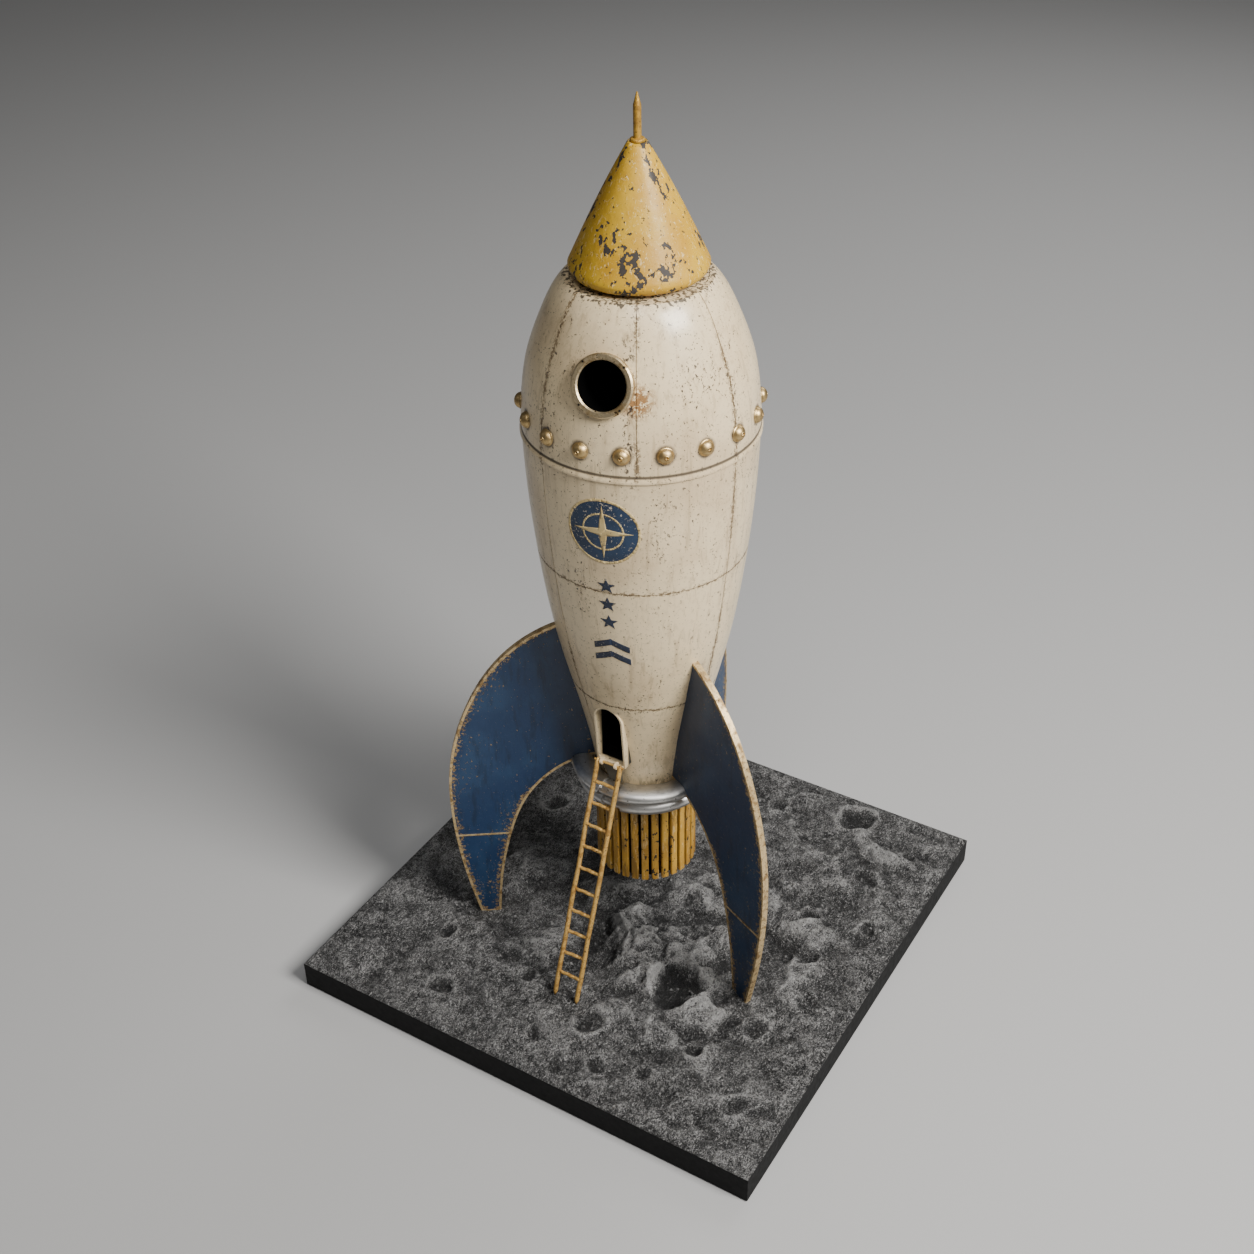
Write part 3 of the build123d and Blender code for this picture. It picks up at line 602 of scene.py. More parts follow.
@dataclass(frozen=True)
class FinEnamel(Finish):
    """Navy enamel that has flaked to tan metal, most of all near the fin's edges."""

    direction: float
    outer: tuple[Point, ...]
    inner: tuple[Point, ...]
    low: float
    high: float
    reach: float
    navy: Colour = (0.0075, 0.028, 0.078)
    faded: Colour = (0.013, 0.042, 0.100)
    dark: Colour = (0.004, 0.011, 0.028)
    haze: Colour = (0.035, 0.065, 0.120)
    tan: Colour = (0.42, 0.29, 0.14)
    brown: Colour = (0.20, 0.125, 0.055)

    def edge_gap(self, s: Surface) -> Value:
        """Distance from the fin's outer or inner edge, whichever is nearer.

        Args:
            s: The surface.

        Returns:
            The distance in metres.
        """
        turn = math.radians(self.direction)
        out = s.x * math.cos(turn) + s.y * math.sin(turn)
        height = (s.z - self.low) / (self.high - self.low)
        outer, inner = (s.value("ShaderNodeFloatCurve", {"curve": points}, {"Value": height}) * self.reach
                        for points in (self.outer, self.inner))
        return (outer - out).upto(out - inner)

    def paint(self, s: Surface) -> None:
        """Fill the shader.

        Args:
            s: The material's surface.
        """
        gap = self.edge_gap(s)
        broad = s.noise(40, 3, 0.55)
        fine = s.noise(460, 5, 0.7, 0.3)
        down = s.stretched((1, 1, 0.2))
        edge = gap.ramp(0.0032, 0.0010)
        border = gap.ramp(0.026, 0.002)
        bare = s.patches(0.07, 520, 5, 0.70, 0.5, None, 0.03, edge * 0.22) * gap.ramp(0.0052, 0.0030)
        lean = border * broad.ramp(0.40, 0.70)
        dots = s.patches(0.0035, 620, 4, 0.68, 0.4, s.stretched((1, 1, 0.8)), 0.02, lean * 0.15)
        loose = s.patches(0.0015, 800, 2, 0.5, 0.0, None, 0.02)
        worn = bare.atleast(dots).atleast(loose)
        colour = s.mix(broad.ramp(0.35, 0.80), self.navy, self.faded)
        colour = s.mix(s.noise(190, 5, 0.7, 0.0, down).ramp(0.50, 0.85) * 0.5, colour, self.dark)
        colour = s.mix(fine.ramp(0.60, 0.90) * 0.25, colour, self.haze)
        # Painted shade on the fin next to the hull, above the fin's foot.
        root_shade = s.radius().ramp(0.066, 0.034) * s.z.ramp(0.100, 0.150)
        colour = s.mix(root_shade * 0.45, colour, self.dark)
        tint = s.mix(fine.ramp(0.40, 0.75), self.tan, self.brown)
        colour = s.mix(worn, colour, tint)
        dull = 0.38 + 0.14 * fine + 0.12 * worn
        flaked = s.relief(1.0 - worn, 0.0003, 0.9)
        normal = s.relief(s.noise(360, 4, 0.6), 0.00010, 0.5, flaked)
        s.finish(Base_Color=colour, Roughness=dull, Normal=normal, Metallic=worn * 0.4, Coat_Weight=0.15,
                 Coat_Roughness=0.28)


@dataclass(frozen=True)
class WornMetal(Finish):
    """Bare or gilded metal with tarnish in blotches and a rubbed grain."""

    bright: Colour
    tarnish: Colour
    deep: Colour
    scale: float = 160.0
    blotch: tuple[float, float] = (0.40, 0.80)
    pits: float = 0.03
    roughness: float = 0.34
    metallic: float = 1.0
    grain_depth: float = 0.00008

    def paint(self, s: Surface) -> None:
        """Fill the shader.

        Args:
            s: The material's surface.
        """
        blot = s.noise(self.scale, 5, 0.65, 0.3).ramp(*self.blotch)
        grain = s.noise(self.scale * 5, 4, 0.6)
        pits = s.patches(self.pits, self.scale * 3.5, 3, 0.6, 0.2, None, 0.03)
        colour = s.mix(blot, self.bright, self.tarnish)
        colour = s.mix(grain.ramp(0.50, 0.85) * 0.45, colour, self.tarnish)
        colour = s.mix(pits, colour, self.deep)
        dull = self.roughness + 0.16 * blot + 0.12 * grain + 0.2 * pits
        normal = s.relief(grain, self.grain_depth, 0.6, s.relief(1.0 - pits, 0.0002, 0.7))
        s.finish(Base_Color=colour, Roughness=dull, Normal=normal, Metallic=self.metallic)


@dataclass(frozen=True)
class BrushedRing(Finish):
    """Satin steel, brushed round the axis, with smudges and a little dirt."""

    steel: Colour = (0.64, 0.63, 0.61)
    smudge: Colour = (0.24, 0.23, 0.215)
    speck: Colour = (0.05, 0.045, 0.04)

    def paint(self, s: Surface) -> None:
        """Fill the shader.

        Args:
            s: The material's surface.
        """
        around = s.value("ShaderNodeCombineXYZ", None,
                         {"X": s.radius() * 900, "Y": s.azimuth() * 6, "Z": s.z * 900})
        brushed = s.noise(1.0, 3, 0.6, 0.0, around)
        blot = s.noise(60, 4, 0.6, 0.3)
        fleck = s.patches(0.012, 620, 3, 0.6, 0.2, None, 0.03)
        colour = s.mix(blot.ramp(0.45, 0.90) * 0.55, self.steel, self.smudge)
        colour = s.mix(brushed.ramp(0.45, 0.85) * 0.20, colour, self.smudge)
        colour = s.mix(fleck * 0.8, colour, self.speck)
        dull = 0.34 + 0.10 * blot + 0.06 * brushed
        dents = s.relief(s.noise(45, 1, 0.5), 0.0004, 0.3)
        normal = s.relief(s.noise(700, 2, 0.5), 0.00002, 0.4, dents)
        s.finish(Base_Color=colour, Roughness=dull, Normal=normal, Metallic=1.0)


@dataclass(frozen=True)
class MoonRock(Finish):
    """Dark grey cast rock with pale streaky grains and specks, painted light on rises and rims and painted
    shade in hollows.
    """

    dark: Colour = (0.012, 0.012, 0.0125)
    mid: Colour = (0.125, 0.125, 0.124)
    pale: Colour = (0.50, 0.496, 0.49)
    # Pale dust, also used for painted highlights on the rises.
    dust_and_highlight: Colour = (0.62, 0.615, 0.605)

    def paint(self, s: Surface) -> None:
        """Fill the shader.

        Args:
            s: The material's surface.
        """
        slanted = s.stretched((1.0, 0.62, 1.0), 35)
        streak = s.noise(560, 5, 0.74, 2.2, slanted)
        chunky = s.noise(170, 5, 0.68, 0.6)
        broad = s.noise(30, 3, 0.55, 0.3)
        grain = s.noise(1300, 3, 0.65, 0.4)
        curls = s.cracks(430, s.value("ShaderNodeVectorMath", {"operation": "ADD"},
                                      {0: s.place, 1: self.swirl(s)}))
        # Painted light and shade from the relief: lighter on rises and rims, darker in hollows.
        relief_light = s.value("ShaderNodeAttribute", {"attribute_name": "relief_light"}, None, "Fac") - 0.5
        tone_and_relief_light = 0.5 + (streak - 0.5) * 1.10 + (chunky - 0.5) * 0.34
        tone_and_relief_light = tone_and_relief_light + (broad - 0.5) * 0.20 + (grain - 0.5) * 0.58 + relief_light * 0.95
        stops = ((0.28, self.dark), (0.52, self.mid), (0.90, self.pale))
        colour = s.value("ShaderNodeValToRGB", {"stops": stops}, {"Fac": tone_and_relief_light}, "Color")
        colour = s.mix(curls.ramp(0.05, 0.0) * streak.ramp(0.42, 0.66) * 0.60, colour, self.pale)
        # Pale dust in patches, more of it on the rises as a painted highlight.
        dust_and_crest_light = s.patches(0.04, 800, 3, 0.65, 0.8, slanted, 0.04, relief_light * 0.5)
        colour = s.mix(dust_and_crest_light * 0.80, colour, self.dust_and_highlight)
        # Painted shade: dark patches in the hollows.
        hollow_shade = s.patches(0.12, 560, 4, 0.65, 0.6, slanted, 0.05, relief_light * -0.5)
        colour = s.mix(hollow_shade * 0.55, colour, self.dark)
        lumps = s.relief(chunky, 0.0054, 1.0)
        ridges = s.relief(streak, 0.0028, 1.0, lumps)
        normal = s.relief(grain + curls * 1.5, 0.0008, 1.0, ridges)
        s.finish(Base_Color=colour, Roughness=(0.40 + 0.3 * grain).upto(0.95), Normal=normal)

    @staticmethod
    def swirl(s: Surface) -> Value:
        """Small shift of the coordinates that curls the cells.

        Args:
            s: The surface.

        Returns:
            The shift.
        """
        turned = s.value("ShaderNodeTexNoise", None,
                         {"Vector": s.place, "Scale": 260.0, "Detail": 2.0}, "Color")
        return s.value("ShaderNodeVectorMath", {"operation": "SCALE"}, {0: turned, "Scale": 0.006})


@dataclass(frozen=True)
class QuietPaint(Finish):
    """Plain paint, lacquer or felt with a fine tooth and faint wear."""

    colour: Colour
    worn: Colour
    roughness: float
    tooth: float
    scale: float
    gloss: float = 0.5

    def paint(self, s: Surface) -> None:
        """Fill the shader.

        Args:
            s: The material's surface.
        """
        fine = s.noise(self.scale, 5, 0.65)
        broad = s.noise(self.scale / 12, 3, 0.5)
        scratch = s.cracks(55, s.stretched((1, 1, 2.5), 12)).ramp(0.006, 0.002)
        scratch = scratch * s.noise(90, 2, 0.5).ramp(0.60, 0.75)
        worn = (broad.ramp(0.55, 0.8) * 0.6).atleast(fine.ramp(0.72, 0.86) * 0.35)
        worn = worn.atleast(scratch * 0.4)
        colour = s.mix(worn, self.colour, self.worn)
        normal = s.relief(fine, self.tooth, 0.6)
        s.finish(Base_Color=colour, Roughness=self.roughness + 0.15 * fine + 0.1 * worn, Normal=normal,
                 Specular_IOR_Level=self.gloss)


@dataclass(frozen=True)
class DecalPaint(Finish):
    """Stencilled paint that has flaked down to the cream underneath."""

    ink: Colour
    shade: Colour
    under: Colour = (0.60, 0.53, 0.42)

    def paint(self, s: Surface) -> None:
        """Fill the shader.

        Args:
            s: The material's surface.
        """
        fine = s.noise(520, 6, 0.72, 0.4)
        broad = s.noise(90, 3, 0.5)
        flaked = s.patches(0.028, 620, 5, 0.72, 0.5, None, 0.03, (broad - 0.5) * 0.35)
        colour = s.mix(broad.ramp(0.35, 0.7) * 0.7, self.ink, self.shade)
        colour = s.mix(flaked * 0.85, colour, self.under)
        normal = s.relief(1.0 - flaked, 0.0001, 0.7)
        s.finish(Base_Color=colour, Roughness=0.38 + 0.2 * fine, Normal=normal, Coat_Weight=0.15,
                 Coat_Roughness=0.3)


@dataclass(frozen=True)
class StudioFloor(Finish):
    """Plain matte floor."""

    grey: Colour = (0.42, 0.42, 0.42)

    def paint(self, s: Surface) -> None:
        """Fill the shader."""
        s.finish(Base_Color=self.grey, Roughness=0.85)


class Look:
    """The finishes of this rocket, by what they are on."""

    NOSE = ChippedEnamel("nose_ochre", (0.56, 0.338, 0.018), (0.46, 0.240, 0.010), (0.040, 0.033, 0.028),
                         (0.80, 0.62, 0.30), chip_share=0.024, cluster_scale=48.0, cluster_push=0.26,
                         roughness=0.46, coat=0.1)
    SLAT = ChippedEnamel("slat_ochre", (0.55, 0.315, 0.045), (0.36, 0.18, 0.025), (0.030, 0.022, 0.014),
                         (0.70, 0.52, 0.25), cluster_push=0.14, upright=0.16, roughness=0.36, coat=0.2,
                         slats=LAYOUT.slats)
    GOLD = WornMetal("fin_gold", (0.68, 0.51, 0.27), (0.30, 0.19, 0.08), (0.03, 0.02, 0.015), 260,
                     pits=0.025, roughness=0.36, metallic=0.6)
    BRASS = WornMetal("rivet_brass", (0.60, 0.43, 0.20), (0.28, 0.17, 0.065), (0.04, 0.025, 0.015), 170,
                      blotch=(0.55, 1.1), pits=0.004, roughness=0.36, grain_depth=0.00003)
    PALE_BRASS = WornMetal("porthole_brass", (0.70, 0.57, 0.36), (0.30, 0.21, 0.10), (0.05, 0.03, 0.015), 150,
                           pits=0.02, roughness=0.40)
    LADDER = WornMetal("ladder_gold", (0.64, 0.40, 0.12), (0.36, 0.19, 0.045), (0.10, 0.05, 0.015), 280,
                       pits=0.05, roughness=0.38, metallic=0.4, grain_depth=0.0002)
    NEEDLE = WornMetal("needle_gold", (0.50, 0.29, 0.040), (0.30, 0.16, 0.025), (0.10, 0.05, 0.015), 300,
                       pits=0.04, roughness=0.38, metallic=0.4, grain_depth=0.0002)
    STEEL = WornMetal("plain_steel", (0.50, 0.50, 0.49), (0.28, 0.27, 0.25), (0.06, 0.05, 0.04), 120)
    SCREW = WornMetal("dark_screw", (0.06, 0.05, 0.042), (0.03, 0.024, 0.02), (0.01, 0.01, 0.01), 300)
    RING = BrushedRing("ring_steel")
    ROCK = MoonRock("moon_rock")
    STONE = QuietPaint("moon_stone", (0.075, 0.075, 0.074), (0.26, 0.26, 0.255), roughness=0.75,
                       tooth=0.0003, scale=900)
    LACQUER = QuietPaint("slab_black", (0.0025, 0.0025, 0.0027), (0.008, 0.008, 0.008), roughness=0.50,
                         tooth=0.00006, scale=260, gloss=0.12)
    FELT = QuietPaint("base_felt", (0.012, 0.012, 0.013), (0.03, 0.03, 0.03), roughness=0.9,
                      tooth=0.0004, scale=900)
    # Near black with almost no sheen: painted shade in the door pocket, porthole cup, nozzle liner, throat
    # tube and nose spigot.
    BLACK = QuietPaint("black_inside", (0.0010, 0.0010, 0.0010), (0.0020, 0.0020, 0.0020), roughness=0.8,
                       tooth=0.00005, scale=200, gloss=0.02)
    OLIVE = QuietPaint("apron_olive", (0.085, 0.080, 0.060), (0.14, 0.13, 0.10), roughness=0.5,
                       tooth=0.00008, scale=320)
    BADGE_BLUE = DecalPaint("badge_blue", (0.012, 0.034, 0.080), (0.007, 0.020, 0.050))
    BADGE_GOLD = DecalPaint("badge_gold", (0.56, 0.43, 0.20), (0.44, 0.31, 0.12), (0.02, 0.04, 0.08))
    INK = DecalPaint("stencil_ink", (0.009, 0.019, 0.046), (0.006, 0.012, 0.030))


# --------------------------------------------------------------------------- geometry nodes
class Kind(Enum):
    """Sockets that a geometry tree's inputs may have."""

    GEOMETRY = "NodeSocketGeometry"
    OBJECT = "NodeSocketObject"
    MATERIAL = "NodeSocketMaterial"
    WHOLE = "NodeSocketInt"
    NUMBER = "NodeSocketFloat"
    VECTOR = "NodeSocketVector"


class Repeater(Graph):
    """A geometry node tree that places copies of a template piece."""

    COMMON = {"Template": Kind.OBJECT, "Finish": Kind.MATERIAL, "Seed": Kind.WHOLE}

    def __init__(self, name: str, inputs: dict[str, Kind]) -> None:
        """Make the tree with its named inputs.

        Args:
            name: Name of the tree.
            inputs: Inputs beyond the template, finish and seed.
        """
        super().__init__(bpy.data.node_groups.new(name, "GeometryNodeTree"))
        face = self.tree.interface
        face.new_socket("Geometry", in_out="INPUT", socket_type=Kind.GEOMETRY.value)
        face.new_socket("Geometry", in_out="OUTPUT", socket_type=Kind.GEOMETRY.value)
        self.keys = {title: face.new_socket(title, in_out="INPUT", socket_type=kind.value).identifier
                     for title, kind in {**self.COMMON, **inputs}.items()}
        self.given = self.node("NodeGroupInput")

    def ask(self, title: str) -> Value:
        """One of the tree's inputs."""
        return Value(self, self.given.outputs[title])

    def random(self, low: Any, high: Any, salt: int) -> Value:
        """Random number or vector for each point, from the tree's seed.

        Args:
            low: Lowest number or vector.
            high: Highest number or vector.
            salt: Number that sets it apart from the tree's other draws.

        Returns:
            The value.
        """
        vector = isinstance(low, tuple)
        first = 0 if vector else 2
        return self.value("FunctionNodeRandomValue", {"data_type": "FLOAT_VECTOR" if vector else "FLOAT"},
                          {first: low, first + 1: high, "Seed": self.ask("Seed") + salt}, 0 if vector else 1)

    def close(self, points: Value, turn: Value, scale: Any = (1.0, 1.0, 1.0)) -> None:
        """Put the template on points, make the copies real and give them their finish.

        Args:
            points: Geometry whose points carry the copies.
            turn: Euler angles of each copy.
            scale: Size of each copy.
        """
        template = self.value("GeometryNodeObjectInfo", {"transform_space": "ORIGINAL"},
                              {"Object": self.ask("Template")}, "Geometry")
        rotation = self.value("FunctionNodeEulerToRotation", None, {0: turn})
        copies = self.value("GeometryNodeInstanceOnPoints", None,
                            {"Points": points, "Instance": template, "Rotation": rotation, "Scale": scale})
        real = self.value("GeometryNodeRealizeInstances", None, {"Geometry": copies})
        done = self.value("GeometryNodeSetMaterial", None, {"Geometry": real, "Material": self.ask("Finish")})
        self.node("NodeGroupOutput", None, {0: done})

    def run(self, name: str, template: bpy.types.Object, finish: Finish, seed: int = 1,
            carrier: bpy.types.Object | None = None, **inputs: Any) -> bpy.types.Object:
        """Run the tree once and keep the result as a plain mesh.

        Args:
            name: Name of the new piece.
            template: Object to copy; it is removed afterwards.
            finish: Finish of the copies.
            seed: Seed of the random values.
            carrier: Object whose mesh the tree works on, if it needs one.
            **inputs: Values of the tree's other inputs, with an underscore for a space.

        Returns:
            The new piece.
        """
        mesh = carrier.data.copy() if carrier else bpy.data.meshes.new(name)
        holder = bpy.data.objects.new(name + "_holder", mesh)
        bpy.context.scene.collection.objects.link(holder)
        modifier = holder.modifiers.new("repeat", "NODES")
        modifier.node_group = self.tree
        values = {"Template": template, "Finish": finish.material(), "Seed": seed,
                  **{key.replace("_", " "): term for key, term in inputs.items()}}
        for title, term in values.items():
            modifier[self.keys[title]] = term
        graph = bpy.context.evaluated_depsgraph_get()
        made = bpy.data.meshes.new_from_object(holder.evaluated_get(graph))
        piece = bpy.data.objects.new(name, made)
        bpy.context.scene.collection.objects.link(piece)
        for spare in (holder, template):
            bpy.data.objects.remove(spare)
        return piece


def ring_repeater() -> Repeater:
    """Tree that sets copies evenly on a circle about the rocket's axis.

    Returns:
        The tree; its template faces +X.
    """
    sizes = dict.fromkeys(("Radius", "Height", "First", "Tilt", "Spin"), Kind.NUMBER)
    tree = Repeater("copies_on_a_circle", {"Count": Kind.WHOLE, **sizes})
    index = tree.value("GeometryNodeInputIndex")
    angle = tree.ask("First") + index * FULL_TURN / tree.ask("Count")
    radius = tree.ask("Radius")
    place = tree.value("ShaderNodeCombineXYZ", None, {"X": radius * tree.math("COSINE", angle),
                                                      "Y": radius * tree.math("SINE", angle),
                                                      "Z": tree.ask("Height")})
    line = tree.value("GeometryNodeMeshLine", None, {"Count": tree.ask("Count")})
    points = tree.value("GeometryNodeSetPosition", None, {"Geometry": line, "Position": place})
    spin = tree.random(-1.0, 1.0, 3) * tree.ask("Spin")
    turn = tree.value("ShaderNodeCombineXYZ", None, {"X": spin, "Y": tree.ask("Tilt") * -1.0, "Z": angle})
    tree.close(points, turn)
    return tree


def line_repeater() -> Repeater:
    """Tree that sets copies along a straight line, each a little out of true.

    Returns:
        The tree.
    """
    tree = Repeater("copies_on_a_line", {"Count": Kind.WHOLE, "Start": Kind.VECTOR, "Step": Kind.VECTOR,
                                         "Turn": Kind.VECTOR, "Sway": Kind.NUMBER})
    line = tree.value("GeometryNodeMeshLine", None,
                      {"Count": tree.ask("Count"), "Start Location": tree.ask("Start"),
                       "Offset": tree.ask("Step")})
    sway = tree.ask("Sway")
    shift = tree.value("ShaderNodeVectorMath", {"operation": "SCALE"},
                       {0: tree.random((-0.01, -0.01, -0.01), (0.01, 0.01, 0.01), 1), "Scale": sway})
    points = tree.value("GeometryNodeSetPosition", None, {"Geometry": line, "Offset": shift})
    jitter = tree.value("ShaderNodeVectorMath", {"operation": "SCALE"},
                        {0: tree.random((-0.6, -1.0, -1.0), (0.6, 1.0, 1.0), 2), "Scale": sway})
    turn = tree.value("ShaderNodeVectorMath", {"operation": "ADD"}, {0: tree.ask("Turn"), 1: jitter})
    tree.close(points, turn)
    return tree


def scatter_repeater() -> Repeater:
    """Tree that strews copies over a surface's upward faces.

    Returns:
        The tree.
    """
    tree = Repeater("copies_strewn", dict.fromkeys(("Density", "Smallest", "Largest"), Kind.NUMBER))
    normal = tree.value("GeometryNodeInputNormal")
    upward = tree.math("GREATER_THAN", tree.value("ShaderNodeSeparateXYZ", None, {"Vector": normal}, 2), 0.55)
    points = tree.value("GeometryNodeDistributePointsOnFaces", None,
                        {"Mesh": tree.ask("Geometry"), "Selection": upward, "Density": tree.ask("Density"),
                         "Seed": tree.ask("Seed")})
    turn = tree.random((-3.0, -3.0, -3.0), (3.0, 3.0, 3.0), 5)
    grade = tree.random(0.0, 1.0, 6) ** 3.0
    size = tree.ask("Smallest") + grade * (tree.ask("Largest") - tree.ask("Smallest"))
    tree.close(points, turn, size)
    return tree


# --------------------------------------------------------------------------- mesh helpers
def to_scene(name: str, mesh: bpy.types.Mesh, finishes: Sequence[Finish], smooth: bool) -> bpy.types.Object:
    """Put a finished mesh into the scene.

    Args:
        name: Name of the piece.
        mesh: Its mesh.
        finishes: Finishes for its material slots.
        smooth: Whether it is smooth-shaded.

    Returns:
        The new piece.
    """
    for finish in finishes:
        mesh.materials.append(finish.material())
    if smooth:
        mesh.shade_smooth()
    else:
        mesh.shade_flat()
    piece = bpy.data.objects.new(name, mesh)
    bpy.context.scene.collection.objects.link(piece)
    return piece


def new_piece(name: str, vertices: Sequence[Any], faces: Sequence[Sequence[int]], finishes: Sequence[Finish],
              smooth: bool = True) -> bpy.types.Object:
    """Make a piece from vertices and faces.

    Args:
        name: Name of the piece.
        vertices: Points in metres.
        faces: Vertex numbers of each face, anticlockwise from outside.
        finishes: Finishes for its material slots.
        smooth: Whether it is smooth-shaded.

    Returns:
        The new piece.
    """
    mesh = bpy.data.meshes.new(name)
    mesh.from_pydata([tuple(v) for v in vertices], [], [tuple(f) for f in faces])
    mesh.update()
    return to_scene(name, mesh, finishes, smooth)


def from_bmesh(name: str, work: bmesh.types.BMesh, finish: Finish, smooth: bool = True) -> bpy.types.Object:
    """Make a piece from a bmesh, with its faces turned outwards.

    Args:
        name: Name of the piece.
        work: The bmesh, which is freed.
        finish: Its finish.
        smooth: Whether it is smooth-shaded.

    Returns:
        The new piece.
    """
    bmesh.ops.recalc_face_normals(work, faces=work.faces)
    mesh = bpy.data.meshes.new(name)
    work.to_mesh(mesh)
    work.free()
    return to_scene(name, mesh, [finish], smooth)


def lathe_piece(name: str, profile: Sequence[Point], steps: int, finish: Finish,
                place: Matrix = Matrix()) -> bpy.types.Object:
    """Turn a closed piece about Z and move it to its place in the mesh.

    Args:
        name: Name of the piece.
        profile: Points of (radius, height), from the top of the outside downwards; the ends lie on the axis.
        steps: Faces round the axis.
        finish: Its finish.
        place: Where the turned shape goes.

    Returns:
        The new piece.
    """
    work = bmesh.new()
    turns = [FULL_TURN * i / steps for i in range(steps)]
    made = [work.verts.new(place @ Vector((r * math.cos(a), r * math.sin(a), z)))
            for r, z in profile for a in turns]
    for high in range(0, (len(profile) - 1) * steps, steps):
        low = high + steps
        for i in range(steps):
            j = (i + 1) % steps
            work.faces.new([made[k] for k in (low + i, low + j, high + j, high + i)])
    bmesh.ops.remove_doubles(work, verts=work.verts, dist=1e-6)
    bmesh.ops.holes_fill(work, edges=[e for e in work.edges if e.is_boundary], sides=0)
    return from_bmesh(name, work, finish)


def keep(piece: bpy.types.Object, body: str, slot: str, *nodes: str) -> bpy.types.Object:
    """Attach a piece to its body and hide the CAD nodes that it stands for.

    Args:
        piece: The finished piece.
        body: Body that it rides on.
        slot: Not used.
        *nodes: CAD nodes that it stands for.

    Returns:
        The piece.
    """
    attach(piece, body)
    if nodes:
        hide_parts(*nodes)
    LOG.info("%s rides on %s with %d faces", piece.name, body, len(piece.data.polygons))
    return piece


class CadSkin:
    """A CAD node's surface, asked for by direction and height."""

    def __init__(self, node: bpy.types.Object) -> None:
        """Index the node's faces.

        Args:
            node: The CAD node's object.
        """
        work = bmesh.new()
        work.from_mesh(node.data)
        self.tree = BVHTree.FromBMesh(work)
        work.free()

    def at(self, azimuth: float, height: float, proud: float = 0.0) -> Vector:
        """Outermost point in a direction.

        Args:
            azimuth: Direction from the axis, in degrees.
            height: Height above the ground.
            proud: How far to stand off the surface.

        Returns:
            The point.
        """
        turn = math.radians(azimuth)
        out = Vector((math.cos(turn), math.sin(turn), 0.0))
        hit, normal, _, _ = self.tree.ray_cast(out + Vector((0, 0, height)), -out)
        return hit + normal.normalized() * proud


